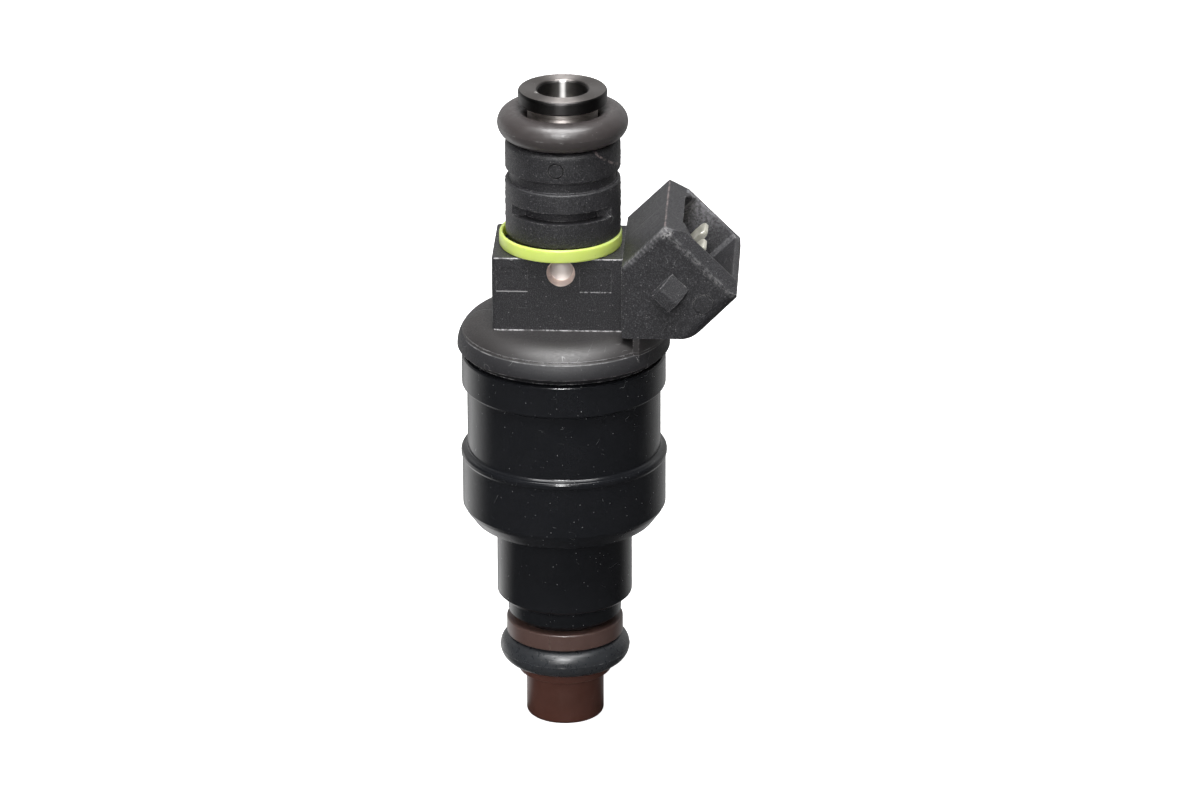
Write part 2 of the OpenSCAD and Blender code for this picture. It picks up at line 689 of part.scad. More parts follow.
inlet_tube();
moulded_body();
upper_o_ring();
colour_ring();
filter_collar();
filter_cage();
filter_mesh();
adjusting_sleeve();
return_spring();
terminal_blade_front();
terminal_blade_rear();
coil_bobbin();
coil_winding();
bobbin_upper_seal();
bobbin_lower_seal();
magnet_housing();
armature();
valve_needle();
stop_shim();
nozzle_body();
nozzle_body_seal();
spacer_collar();
lower_o_ring();
pintle_cap();
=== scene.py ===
"""Looks of a top-feed fuel injector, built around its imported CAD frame.

Shapes are made in millimetres in the CAD frame (origin at the nozzle's end face, +Z to
the inlet, socket towards +X) and scaled to metres when each piece is finished.
"""

import json
import math
import random

import bmesh
import bpy
from mathutils import Matrix, Vector


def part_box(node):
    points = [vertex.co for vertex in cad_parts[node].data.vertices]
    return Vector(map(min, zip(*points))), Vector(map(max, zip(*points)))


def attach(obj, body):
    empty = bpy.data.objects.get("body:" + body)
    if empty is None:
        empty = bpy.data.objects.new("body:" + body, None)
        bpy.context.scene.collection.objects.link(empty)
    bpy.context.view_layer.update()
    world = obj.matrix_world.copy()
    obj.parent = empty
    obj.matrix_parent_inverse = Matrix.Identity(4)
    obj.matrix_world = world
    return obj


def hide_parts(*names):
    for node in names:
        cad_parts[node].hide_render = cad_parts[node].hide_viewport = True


MM = 0.001
TURN_STEPS = 240
CORNER_STEPS = 6
HALF_ROOT = math.sqrt(0.5)

# Sizes that more than one piece or material uses, in millimetres
BORE_R = 4.3
STEM_R = 6.43
BLOCK_HALF = 5.45
BLOCK_LEFT = -7.7
BLOCK_RIGHT = 7.6
BLOCK_TOP = 57.3
DOME_BASE_Z = 44.55
DOME_R = 3.45
PORT_Z = 55.6
RECESS_Z = 53.37
SOCKET_START = 6.85
SOCKET_HALF = 7.95
SOCKET_MIDDLE = -29.9
SOCKET_LOW = -24.2
HEEL_U = -25.35
SHOULDER_W = 51.9
MOUTH_W = 53.05
BAND_R = 11.48
BARREL_R = 10.9
NECK_R = 7.66
SKIRT_R = 6.42
CAP_R = 4.4
RING_BORE_R = 6.4

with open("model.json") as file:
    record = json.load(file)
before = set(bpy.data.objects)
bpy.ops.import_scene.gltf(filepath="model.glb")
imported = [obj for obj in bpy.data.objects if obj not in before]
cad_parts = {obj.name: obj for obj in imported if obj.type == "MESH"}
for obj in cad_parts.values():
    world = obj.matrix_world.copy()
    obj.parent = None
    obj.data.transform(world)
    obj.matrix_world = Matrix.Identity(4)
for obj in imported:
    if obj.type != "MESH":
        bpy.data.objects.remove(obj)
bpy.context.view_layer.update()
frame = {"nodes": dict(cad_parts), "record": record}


def node_box(node):
    """Lowest and highest corner of a CAD node, in millimetres."""
    low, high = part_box(node)
    return low / MM, high / MM


# ---------------------------------------------------------------- shape helpers


def rounded(points):
    """(r, z) points of a profile. A third number rounds that corner by that radius."""
    out = []
    count = len(points)
    for i, point in enumerate(points):
        radius = point[2] if len(point) > 2 else 0
        if radius <= 0:
            out.append((point[0], point[1]))
            continue
        corner = Vector(point[:2])
        before = Vector(points[i - 1][:2]) - corner
        after = Vector(points[(i + 1) % count][:2]) - corner
        half = before.angle(after) / 2
        reach = min(radius / math.tan(half), 0.48 * before.length, 0.48 * after.length)
        true_radius = reach * math.tan(half)
        middle = (before.normalized() + after.normalized()).normalized()
        centre = corner + middle * (true_radius / math.sin(half))
        start = corner + before.normalized() * reach - centre
        end = corner + after.normalized() * reach - centre
        a0 = math.atan2(start.y, start.x)
        sweep = (math.atan2(end.y, end.x) - a0 + math.pi) % (2 * math.pi) - math.pi
        for k in range(CORNER_STEPS + 1):
            a = a0 + sweep * k / CORNER_STEPS
            out.append((centre.x + true_radius * math.cos(a),
                        centre.y + true_radius * math.sin(a)))
    return out


def arc(cx, cz, radius, a0, a1, steps=24):
    """Points along an arc of a profile, angles in degrees."""
    turns = [math.radians(a0 + (a1 - a0) * k / steps) for k in range(steps + 1)]
    return [(cx + radius * math.cos(a), cz + radius * math.sin(a)) for a in turns]


def mesh_object(name, verts, faces):
    """A new object from points in millimetres, with its normals facing out."""
    mesh = bpy.data.meshes.new(name)
    mesh.from_pydata([tuple(v) for v in verts], [], faces)
    bm = bmesh.new()
    bm.from_mesh(mesh)
    bmesh.ops.remove_doubles(bm, verts=bm.verts, dist=1e-5)
    bmesh.ops.recalc_face_normals(bm, faces=bm.faces)
    bm.to_mesh(mesh)
    bm.free()
    obj = bpy.data.objects.new(name, mesh)
    bpy.context.scene.collection.objects.link(obj)
    return obj


def lathe(name, profile, centre=(0.0, 0.0), steps=TURN_STEPS):
    """Turns a closed profile of (r, z) points about a vertical line."""
    count = len(profile)
    verts = []
    for k in range(steps):
        a = 2 * math.pi * k / steps
        verts += [(centre[0] + r * math.cos(a), centre[1] + r * math.sin(a), z)
                  for r, z in profile]
    faces = []
    for k in range(steps):
        here, there = k * count, (k + 1) % steps * count
        for i in range(count):
            j = (i + 1) % count
            if profile[i][0] < 1e-6 and profile[j][0] < 1e-6:
                continue
            faces.append((here + i, here + j, there + j, there + i))
    return mesh_object(name, verts, faces)


def loft(name, rings):
    """Skins rings of matching 3D points and closes both ends."""
    count = len(rings[0])
    verts = [p for ring in rings for p in ring]
    faces = [tuple(range(count)), tuple(range(len(verts) - count, len(verts)))]
    for k in range(len(rings) - 1):
        a, b = k * count, (k + 1) * count
        faces += [(a + i, a + (i + 1) % count, b + (i + 1) % count, b + i)
                  for i in range(count)]
    return mesh_object(name, verts, faces)


def tilted(u, v, w):
    """A point of the socket's own frame: u runs down across it, w out of its mouth."""
    return ((u + w) * HALF_ROOT, v, (w - u) * HALF_ROOT)


def bake(obj):
    """Applies the object's modifiers."""
    graph = bpy.context.evaluated_depsgraph_get()
    mesh = bpy.data.meshes.new_from_object(obj.evaluated_get(graph))
    obj.modifiers.clear()
    obj.data = mesh


def combine(obj, tool, operation):
    """Exact boolean of obj with tool, which is used up."""
    modifier = obj.modifiers.new("combine", "BOOLEAN")
    modifier.operation = operation
    modifier.solver = "EXACT"
    modifier.object = tool
    bake(obj)
    bpy.data.objects.remove(tool)
    return obj


def tidy_mesh(obj, angle=1.0):
    """Merges flat faces and stray points that a boolean leaves."""
    bm = bmesh.new()
    bm.from_mesh(obj.data)
    bmesh.ops.remove_doubles(bm, verts=bm.verts, dist=1e-4)
    bmesh.ops.dissolve_limit(bm, angle_limit=math.radians(angle), verts=bm.verts,
                             edges=bm.edges)
    bm.to_mesh(obj.data)
    bm.free()


def soften(obj, width, segments=3, weigh=None):
    """Rounds sharp edges. weigh(a, b) gives an edge's share of the width."""
    modifier = obj.modifiers.new("soften", "BEVEL")
    modifier.width = width
    modifier.segments = segments
    modifier.use_clamp_overlap = True
    if weigh is None:
        modifier.limit_method = "ANGLE"
        modifier.angle_limit = math.radians(28)
    else:
        modifier.limit_method = "WEIGHT"
        weights = obj.data.attributes.new("bevel_weight_edge", "FLOAT", "EDGE")
        bm = bmesh.new()
        bm.from_mesh(obj.data)
        bm.edges.ensure_lookup_table()
        values = []
        for edge in bm.edges:
            sharp = len(edge.link_faces) == 2 and edge.calc_face_angle(0) > math.radians(24)
            values.append(weigh(edge.verts[0].co, edge.verts[1].co) if sharp else 0.0)
        bm.free()
        weights.data.foreach_set("value", values)
    bake(obj)


def finish_piece(obj, node, body, slot, material, sharp=32.0):
    """Smooth shading with sharp creases, metres, and the piece's place in the frame."""
    mesh = obj.data
    mesh.transform(Matrix.Scale(MM, 4))
    bm = bmesh.new()
    bm.from_mesh(mesh)
    big = [f for f in bm.faces if len(f.verts) > 4]
    bmesh.ops.triangulate(bm, faces=big)
    bm.to_mesh(mesh)
    bm.free()
    mesh.shade_smooth()
    mesh.set_sharp_from_angle(angle=math.radians(sharp))
    weighted = obj.modifiers.new("normals", "WEIGHTED_NORMAL")
    weighted.keep_sharp = True
    bake(obj)
    obj.data.materials.clear()
    obj.data.materials.append(material)
    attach(obj, body)
    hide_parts(node)
    return obj


# ------------------------------------------------------------- material helpers


class Look:
    """A material's node tree. Positions in it are millimetres in the part's frame."""

    def __init__(self, name, roughness=0.5, metallic=0.0, ior=1.5):
        self.material = bpy.data.materials.new(name)
        self.material.use_nodes = True
        self.tree = self.material.node_tree
        self.shader = self.tree.nodes["Principled BSDF"]
        self.shader.inputs["Roughness"].default_value = roughness
        self.shader.inputs["Metallic"].default_value = metallic
        self.shader.inputs["IOR"].default_value = ior
        coordinates = self.add("ShaderNodeTexCoord")
        self.mm = self.vector("SCALE", coordinates.outputs["Object"], scale=1 / MM)
        parts = self.add("ShaderNodeSeparateXYZ", (self.mm,))
        self.x, self.y, self.z = parts.outputs[:3]

    def put(self, socket, value):
        if isinstance(value, bpy.types.NodeSocket):
            self.tree.links.new(value, socket)
        elif value is not None:
            socket.default_value = value

    def add(self, kind, values=(), **settings):
        node = self.tree.nodes.new(kind)
        for key, value in settings.items():
            setattr(node, key, value)
        for i, value in enumerate(values):
            self.put(node.inputs[i], value)
        return node

    def math(self, operation, a, b=None):
        return self.add("ShaderNodeMath", (a, b), operation=operation).outputs[0]

    def vector(self, operation, a, b=None, scale=None):
        node = self.add("ShaderNodeVectorMath", (a, b), operation=operation)
        if scale is not None:
            self.put(node.inputs["Scale"], scale)
        return node.outputs["Value" if operation in ("DOT_PRODUCT", "LENGTH") else 0]

    def stretch(self, x, y, z):
        return self.vector("MULTIPLY", self.mm, (x, y, z))

    def noise(self, scale, detail=3.0, roughness=0.55, where=None):
        node = self.add("ShaderNodeTexNoise")
        self.put(node.inputs["Vector"], where or self.mm)
        self.put(node.inputs["Scale"], scale)
        self.put(node.inputs["Detail"], detail)
        self.put(node.inputs["Roughness"], roughness)
        return node.outputs["Fac"]

    def cells(self, scale):
        """Distance to the nearest cell point, and that cell's random value."""
        node = self.add("ShaderNodeTexVoronoi")
        self.put(node.inputs["Vector"], self.mm)
        self.put(node.inputs["Scale"], scale)
        chosen = self.add("ShaderNodeSeparateColor", (node.outputs["Color"],))
        return node.outputs["Distance"], chosen.outputs[0]

    def ramp(self, value, low, high, out_low=0.0, out_high=1.0):
        node = self.add("ShaderNodeMapRange", (value, low, high, out_low, out_high),
                        interpolation_type="SMOOTHSTEP")
        return node.outputs[0]

    def mix(self, share, a, b):
        node = self.add("ShaderNodeMix", data_type="RGBA")
        self.put(node.inputs[0], share)
        self.put(node.inputs[6], a)
        self.put(node.inputs[7], b)
        return node.outputs[2]

    def specks(self, per_mm, size, kept):
        """Small round spots: about per_mm cells to the millimetre, a share kept."""
        distance, chance = self.cells(per_mm)
        spot = self.ramp(distance, size, size * 0.5)
        return self.math("MULTIPLY", spot, self.ramp(chance, 1 - kept, 1 - kept + 0.02))

    def hairs(self, scale, width, kept, where=None):
        """Thin curved lines, broken up so that only short lengths show."""
        line = self.math("ABSOLUTE", self.math("SUBTRACT",
                                               self.noise(scale, 0.0, 0.5, where), 0.5))
        thin = self.ramp(line, width, width * 0.35)
        return self.math("MULTIPLY", thin,
                         self.ramp(self.noise(scale * 0.9 + 0.13, 1.0), kept, kept + 0.04))

    def edges(self, radius, low=0.004, high=0.10):
        """1 along edges, within about radius millimetres."""
        bevel = self.add("ShaderNodeBevel", samples=4)
        self.put(bevel.inputs["Radius"], radius * MM)
        geometry = self.add("ShaderNodeNewGeometry")
        together = self.vector("DOT_PRODUCT", bevel.outputs["Normal"],
                               geometry.outputs["Normal"])
        return self.ramp(self.math("SUBTRACT", 1.0, together), low, high)

    def band(self, value, centre, half_width, soft):
        """1 where value lies within half_width of centre."""
        away = self.math("ABSOLUTE", self.math("SUBTRACT", value, centre))
        return self.ramp(away, half_width + soft, half_width)

    def bump(self, height, strength, distance):
        node = self.add("ShaderNodeBump")
        self.put(node.inputs["Strength"], strength)
        self.put(node.inputs["Distance"], distance * MM)
        self.put(node.inputs["Height"], height)
        return node.outputs["Normal"]

    def set(self, **values):
        for name, value in values.items():
            self.put(self.shader.inputs[name.replace("_", " ")], value)
        return self.material


# -------------------------------------------------------------------- materials


def painted_groove_shade(look, colour):
    """Painted shade: darkens the grooves of the round marks on the stem and the socket."""
    for x, z, radius, depth in ((-0.45, 67.95, 0.83, -5.9), (15.91, 53.10, 1.13, -7.8)):
        offset = look.vector("SUBTRACT", look.mm, (x, 0, z))
        ring = look.vector("LENGTH", look.vector("MULTIPLY", offset, (1, 0, 1)))
        groove = look.math("MULTIPLY", look.band(ring, radius, 0.07, 0.05),
                           look.ramp(look.y, depth, depth - 0.2))
        colour = look.mix(look.math("MULTIPLY", groove, 0.8), colour, (0.004, 0.004, 0.005, 1))
    return colour


def painted_edge_highlights(look, colour, front):
    """Painted highlights as fine pale lines: two on the dome's front, and three edges of the block's
    front.
    """
    stem = look.vector("LENGTH", look.vector("MULTIPLY", look.mm, (1, 1, 0)))
    # Painted highlights along the two edges of the dome's parting groove, on its front only
    line = look.math("MULTIPLY", look.ramp(stem, 11.0, 11.3), look.ramp(look.y, -3.0, -6.0))
    line = look.math("MULTIPLY", line, look.math("MAXIMUM", look.band(look.z, 46.90, 0.02, 0.03),
                                                 look.band(look.z, 47.22, 0.02, 0.03)))
    line = look.math("MULTIPLY", line, look.ramp(look.noise(0.8, 4.0, 0.7), 0.40, 0.60, 0.2))
    colour = look.mix(line, colour, (0.17, 0.168, 0.17, 1))
    # Painted highlights on the block's front: along its foot, its top edge and the sills of the two
    # recesses
    square = look.math("MULTIPLY", front, look.ramp(look.x, 7.55, 7.45))
    foot = look.math("MULTIPLY", look.band(look.z, 48.76, 0.04, 0.05), square)
    foot = look.math("MULTIPLY", foot, look.ramp(look.noise(1.3, 5.0, 0.8), 0.46, 0.56, 0.15))
    top = look.math("MULTIPLY", look.band(look.z, BLOCK_TOP - 0.05, 0.05, 0.06), square)
    top = look.math("MULTIPLY", top, look.ramp(look.noise(1.6, 4.0, 0.7), 0.36, 0.52))
    sill = look.math("MULTIPLY", look.band(look.z, RECESS_Z - 0.04, 0.025, 0.04), square)
    inside = look.math("MAXIMUM", look.band(look.x, -5.45, 1.72, 0.05),
                       look.math("MULTIPLY", look.band(look.x, 3.85, 1.72, 0.05),
                                 look.ramp(look.noise(2.4, 2.0, 0.6), 0.46, 0.54)))
    sill = look.math("MULTIPLY", sill, look.math("MULTIPLY", inside, 0.5))
    lines = look.math("MAXIMUM", look.math("MAXIMUM", foot, look.math("MULTIPLY", top, 0.6)), sill)
    return look.mix(look.math("MULTIPLY", lines, 0.9), colour, (0.62, 0.61, 0.62, 1))


def socket_wear_and_painted_light(look, colour):
    """Rubbed mouth, a pale upper corner, a ribbed ridge with a painted highlight, a parting line
    painted as shade and highlight, and painted glints in the cavity.
    """
    u = look.math("MULTIPLY", look.math("SUBTRACT", look.x, look.z), HALF_ROOT)
    w = look.math("MULTIPLY", look.math("ADD", look.x, look.z), HALF_ROOT)
    rim = look.math("MULTIPLY", look.band(w, 51.75, 0.12, 0.35),
                    look.ramp(look.y, -7.45, -7.75))
    rim = look.math("MULTIPLY", rim, look.ramp(look.noise(2.6, 4.0, 0.75), 0.42, 0.62))
    colour = look.mix(look.math("MULTIPLY", rim, 0.7), colour, (0.16, 0.158, 0.16, 1))
    scratch = look.math("MULTIPLY", look.band(w, 51.95, 0.05, 0.09), look.ramp(u, -35.3, -35.45))
    scratch = look.math("MULTIPLY", scratch, look.ramp(look.noise(1.4, 4.0, 0.7), 0.44, 0.58))
    colour = look.mix(look.math("MULTIPLY", scratch, 0.7), colour, (0.30, 0.24, 0.235, 1))
    near = look.vector("LENGTH", look.vector("SUBTRACT", look.mm, tilted(-35.2, -7.6, 51.7)))
    spot = look.math("MULTIPLY", look.ramp(near, 1.0, 0.4),
                     look.ramp(look.noise(4.2, 3.0, 0.7), 0.42, 0.60))
    colour = look.mix(look.math("MULTIPLY", spot, 0.85), colour, (0.42, 0.41, 0.41, 1))
    # The ribbed ridge in front: ribs, and a painted highlight lightening its rounded edge
    socket = look.ramp(look.x, 6.9, 7.2)
    ridge = look.math("MULTIPLY", look.ramp(look.math("SUBTRACT", u, look.y), -27.0, -27.35),
                      look.math("MULTIPLY", socket, look.ramp(look.y, -6.9, -7.2)))
    ridge = look.math("MULTIPLY", ridge, look.ramp(look.z, 56.9, 57.3))
    ribs_and_painted_sheen = look.ramp(look.math("SINE", look.math("MULTIPLY", w, 13.0)), -1.0, 1.0, 0.35)
    ribs_and_painted_sheen = look.math("MULTIPLY", ribs_and_painted_sheen, look.ramp(look.noise(1.8, 3.0, 0.6), 0.35, 0.6, 0.3))
    colour = look.mix(look.math("MULTIPLY", ridge, ribs_and_painted_sheen), colour, (0.135, 0.134, 0.14, 1))
    # Parting line painted as a dark stripe beside a pale one: painted shade and painted highlight of
    # a fine ridge
    upper = look.math("MULTIPLY", look.ramp(u, -35.2, -35.5), look.ramp(w, 51.9, 51.7))
    parting = look.math("MULTIPLY", look.band(look.y, 1.1, 0.10, 0.06), upper)
    colour = look.mix(parting, colour, (0.002, 0.002, 0.002, 1))
    parting = look.math("MULTIPLY", look.band(look.y, 0.86, 0.05, 0.06), upper)
    colour = look.mix(look.math("MULTIPLY", parting, 0.5), colour, (0.16, 0.16, 0.165, 1))
    # Painted highlights and shade: bright glinting grain on the cavity's far wall, fading deeper in
    # and towards its lower side
    painted_cave_glints = look.math("MULTIPLY", look.band(look.y, 6.0, 0.5, 0.1), look.band(u, -29.5, 4.2, 0.1))
    painted_cave_glints = look.math("MULTIPLY", painted_cave_glints, look.ramp(w, 46.5, 52.5))
    painted_cave_glints = look.math("MULTIPLY", painted_cave_glints, look.ramp(u, -26.5, -30.5, 0.35, 1.0))
    painted_cave_glints = look.math("MULTIPLY", painted_cave_glints, look.ramp(look.noise(3.4, 4.0, 0.75), 0.36, 0.66, 0.25))
    return look.mix(look.math("MULTIPLY", painted_cave_glints, 0.8), colour, (0.33, 0.325, 0.34, 1))


def port_lining(look):
    """1 on the round port's inner wall."""
    away = look.vector("LENGTH", look.vector("MULTIPLY",
                       look.vector("SUBTRACT", look.mm, (0, 0, PORT_Z)), (1, 0, 1)))
    return look.math("MULTIPLY", look.ramp(away, 1.60, 1.58),
                     look.math("MULTIPLY", look.ramp(look.y, -4.1, -4.2),
                               look.ramp(look.y, -6.0, -5.9)))


def body_plastic():
    look = Look("charcoal_nylon")
    # The domed shoulder is smoother and a little browner than the rest
    dome = look.math("MULTIPLY", look.ramp(look.z, 48.95, 48.6),
                     look.ramp(look.z, 44.3, 44.6))
    skirt = look.math("MULTIPLY", dome, look.ramp(look.z, 47.0, 46.9))
    cloudy = look.noise(0.35, 4.0, 0.6)
    grain = look.noise(4.2, 3.0, 0.7)
    fine = look.noise(9.0, 2.0, 0.6)
    colour = look.mix(cloudy, (0.011, 0.011, 0.013, 1), (0.019, 0.0185, 0.021, 1))
    colour = look.mix(look.ramp(fine, 0.46, 0.70), colour, (0.062, 0.061, 0.066, 1))
    colour = look.mix(dome, colour, (0.027, 0.0245, 0.0245, 1))
    colour = look.mix(look.math("MULTIPLY", skirt, 0.8), colour, (0.013, 0.013, 0.016, 1))
    # Glass fibre specks, fewer on the dome
    pale = look.math("MAXIMUM", look.specks(3.1, 0.26, 0.20), look.specks(1.7, 0.13, 0.14))
    pale = look.math("MULTIPLY", pale, look.ramp(look.noise(1.3, 3.0, 0.7), 0.40, 0.60, 0.25))
    share = look.math("MULTIPLY", pale, look.ramp(dome, 0.0, 1.0, 0.75, 0.16))
    colour = look.mix(share, colour, (0.20, 0.195, 0.20, 1))
    # Worn edges, rubbed paler in patches, and less so on the block's front
    worn = look.edges(0.13)
    patchy = look.ramp(look.noise(0.9, 4.0, 0.75), 0.43, 0.60)
    crumbly = look.ramp(look.noise(5.0, 2.0, 0.6), 0.35, 0.6)
    worn = look.math("MULTIPLY", worn, look.math("MULTIPLY", patchy, crumbly))
    front = look.band(look.y, 0.01 - BLOCK_HALF, 0.06, 0.06)
    shy = look.math("SUBTRACT", 0.85, look.math("MULTIPLY", front, 0.60))
    colour = look.mix(look.math("MULTIPLY", worn, shy), colour, (0.36, 0.35, 0.35, 1))
    colour = painted_groove_shade(look, colour)
    colour = painted_edge_highlights(look, colour, front)
    colour = socket_wear_and_painted_light(look, colour)
    lint = look.hairs(0.42, 0.0035, 0.60)
    colour = look.mix(look.math("MULTIPLY", lint, 0.4), colour, (0.30, 0.30, 0.30, 1))
    # The port looks lined with bright metal
    lining = port_lining(look)
    colour = look.mix(lining, colour, (0.72, 0.60, 0.56, 1))
    rough = look.ramp(grain, 0.3, 0.7, 0.40, 0.58)
    rough = look.math("ADD", rough, look.math("MULTIPLY", skirt, 0.10))
    rough = look.math("ADD", rough, look.math("MULTIPLY", lining, -0.10))
    height = look.math("ADD", grain, look.math("MULTIPLY", fine, 0.5))
    height = look.math("ADD", height, look.math("MULTIPLY", pale, 0.5))
    strength = look.ramp(dome, 0.0, 1.0, 0.85, 0.25)
    return look.set(Base_Color=colour, Roughness=rough,
                    Metallic=look.math("MULTIPLY", lining, 0.55),
                    Normal=look.bump(height, strength, 0.06))


def housing_paint():
    look = Look("black_gloss_paint", ior=1.45)
    peel = look.noise(0.9, 2.0, 0.5)
    haze = look.noise(0.28, 4.0, 0.65)
    patches = look.ramp(look.noise(0.22, 2.0, 0.6), 0.40, 0.58, 0.25)
    dust = look.math("MAXIMUM", look.specks(1.15, 0.085, 0.42), look.specks(2.3, 0.12, 0.20))
    dust = look.math("MULTIPLY", dust, patches)
    hair = look.math("MAXIMUM", look.hairs(0.33, 0.0030, 0.62),
                     look.hairs(0.71, 0.0050, 0.62))
    hair = look.math("MULTIPLY", hair, look.ramp(look.noise(0.31, 2.0, 0.6), 0.50, 0.62))
    dirt = look.math("MAXIMUM", look.math("MULTIPLY", dust, 0.75),
                     look.math("MULTIPLY", hair, 0.30))
    colour = look.mix(haze, (0.0080, 0.0088, 0.0105, 1), (0.0125, 0.0132, 0.0155, 1))
    worn = look.math("MULTIPLY", look.edges(0.10, 0.01, 0.12),
                     look.ramp(look.noise(2.0, 4.0, 0.7), 0.48, 0.60))
    colour = look.mix(look.math("MULTIPLY", worn, 0.35), colour, (0.3, 0.3, 0.31, 1))
    colour = look.mix(dirt, colour, (0.36, 0.37, 0.37, 1))
    rough = look.ramp(haze, 0.3, 0.7, 0.15, 0.23)
    rough = look.math("ADD", rough, look.math("MULTIPLY", dirt, 0.4))
    height = look.math("ADD", peel, look.math("MULTIPLY", dust, 0.25))
    return look.set(Base_Color=colour, Roughness=rough, Normal=look.bump(height, 0.22, 0.05))


def inlet_steel():
    look = Look("browned_steel", metallic=1.0)
    radius = look.vector("LENGTH", look.vector("MULTIPLY", look.mm, (1, 1, 0)))
    # Brighter where the finish is bare: the neck under the rim, and the part in the port
    bare = look.math("MULTIPLY", look.ramp(radius, 4.35, 4.2), look.ramp(look.z, 73.85, 73.75))
    window = look.ramp(look.z, 60.0, 59.0)
    bare = look.math("MAXIMUM", bare, window)
    bore = look.ramp(radius, 3.0, 2.9)
    stain = look.noise(0.9, 4.0, 0.65)
    colour = look.mix(stain, (0.17, 0.155, 0.15, 1), (0.24, 0.225, 0.215, 1))
    colour = look.mix(look.specks(3.2, 0.2, 0.22), colour, (0.42, 0.40, 0.38, 1))
    # Rim side and its chamfer: painted shade, darkened to stand in for the shade on them, and a
    # little smoother
    side = look.math("MULTIPLY", look.ramp(radius, 4.7, 4.8), look.ramp(look.z, 75.40, 75.38))
    colour = look.mix(side, colour, (0.045, 0.043, 0.043, 1))
    colour = look.mix(bare, colour, (0.66, 0.61, 0.58, 1))
    # Painted shade: the inside of the bore is given a near-black colour for the shade in the hole
    colour = look.mix(bore, colour, (0.075, 0.072, 0.07, 1))
    # Painted highlight: a bright streak down the bore's far wall, standing in for a reflection there
    painted_highlight_streak = look.math("MULTIPLY", bore, look.band(look.x, -0.15, 0.08, 0.40))
    painted_highlight_streak = look.math("MULTIPLY", painted_highlight_streak, look.ramp(look.y, 1.5, 2.0))
    colour = look.mix(painted_highlight_streak, colour, (0.42, 0.415, 0.41, 1))
    # A small nick at the bore's left edge
    near = look.vector("LENGTH", look.vector("SUBTRACT", look.mm, (-2.7, -1.4, 75.3)))
    nick = look.math("MULTIPLY", look.ramp(near, 0.5, 0.2), look.ramp(look.noise(6.0), 0.4, 0.55))
    colour = look.mix(nick, colour, (0.9, 0.88, 0.85, 1))
    turned = look.noise(1.0, 2.0, 0.6, look.stretch(0.35, 0.35, 22.0))
    rings = look.noise(1.0, 2.0, 0.6, look.add("ShaderNodeCombineXYZ", (
        look.math("MULTIPLY", radius, 14.0), 0.0, look.math("MULTIPLY", look.z, 0.5))).outputs[0])
    height = look.math("ADD", turned, look.math("MULTIPLY", rings, 0.8))
    rough = look.ramp(stain, 0.3, 0.7, 0.42, 0.52)
    rough = look.math("ADD", rough, look.math("MULTIPLY", side, -0.05))
    rough = look.math("ADD", rough, look.math("MULTIPLY", bare, 0.08))
    rough = look.math("ADD", rough, look.math("MULTIPLY", bore, 0.02))
    tangent = look.add("ShaderNodeTangent", direction_type="RADIAL", axis="Z")
    return look.set(Base_Color=colour, Roughness=rough, Anisotropic=0.8,
                    Metallic=look.ramp(window, 0.0, 1.0, 1.0, 0.75),
                    Anisotropic_Rotation=0.25, Tangent=tangent.outputs[0],
                    Normal=look.bump(height, 0.15, 0.02))


def rubber(name, dark, light, roughness, seam_z):
    look = Look(name, ior=1.52)
    cloudy = look.noise(0.5, 4.0, 0.6)
    fine = look.noise(6.0, 3.0, 0.65)
    colour = look.mix(cloudy, dark, light)
    specks = look.specks(2.2, 0.16, 0.16)
    colour = look.mix(look.math("MULTIPLY", specks, 0.5), colour, (0.24, 0.23, 0.225, 1))
    # Faint moulding line around the widest part, broken in places
    line = look.math("MULTIPLY", look.band(look.z, seam_z, 0.02, 0.04),
                     look.ramp(look.noise(1.6, 4.0, 0.7), 0.50, 0.62))
    colour = look.mix(look.math("MULTIPLY", line, 0.4), colour, (0.30, 0.30, 0.30, 1))
    streaks = look.noise(1.0, 3.0, 0.6, look.stretch(0.6, 0.6, 9.0))
    height = look.math("ADD", look.math("MULTIPLY", fine, 0.8), streaks)
    rough = look.ramp(look.noise(1.6, 4.0, 0.7), 0.35, 0.65, roughness - 0.07, roughness + 0.07)
    return look.set(Base_Color=colour, Roughness=rough, Normal=look.bump(height, 0.40, 0.035))


def ring_plastic():
    look = Look("lime_plastic", ior=1.48)
    cloudy = look.noise(0.4, 3.0, 0.5)
    fine = look.noise(8.0, 3.0, 0.6)
    colour = look.mix(cloudy, (0.60, 0.80, 0.14, 1), (0.68, 0.86, 0.21, 1))
    colour = look.mix(look.math("MULTIPLY", look.specks(1.3, 0.1, 0.12), 0.5), colour,
                      (0.30, 0.40, 0.06, 1))
    look.shader.inputs["Subsurface Weight"].default_value = 0.6
    look.shader.inputs["Subsurface Radius"].default_value = (1.0, 1.0, 0.35)
    look.shader.inputs["Subsurface Scale"].default_value = 0.0020
    rough = look.ramp(fine, 0.3, 0.7, 0.30, 0.40)
    return look.set(Base_Color=colour, Roughness=rough, Normal=look.bump(fine, 0.12, 0.02))


def brown_plastic(name, dark, light, roughness):
    look = Look(name)
    cloudy = look.noise(0.45, 4.0, 0.6)
    fine = look.noise(9.0, 3.0, 0.6)
    colour = look.mix(cloudy, dark, light)
    colour = look.mix(look.math("MULTIPLY", look.specks(1.5, 0.12, 0.12), 0.5), colour,
                      (0.26, 0.19, 0.16, 1))
    worn = look.math("MULTIPLY", look.edges(0.14), look.ramp(look.noise(2.2, 3.0, 0.7), 0.4, 0.6))
    colour = look.mix(look.math("MULTIPLY", worn, 0.35), colour, (0.30, 0.23, 0.19, 1))
    hair = look.hairs(0.8, 0.004, 0.62, look.stretch(1.0, 1.0, 0.3))
    colour = look.mix(look.math("MULTIPLY", hair, 0.25), colour, (0.25, 0.20, 0.18, 1))
    rough = look.ramp(cloudy, 0.3, 0.7, roughness - 0.05, roughness + 0.05)
    return look.set(Base_Color=colour, Roughness=rough, Normal=look.bump(fine, 0.16, 0.03))


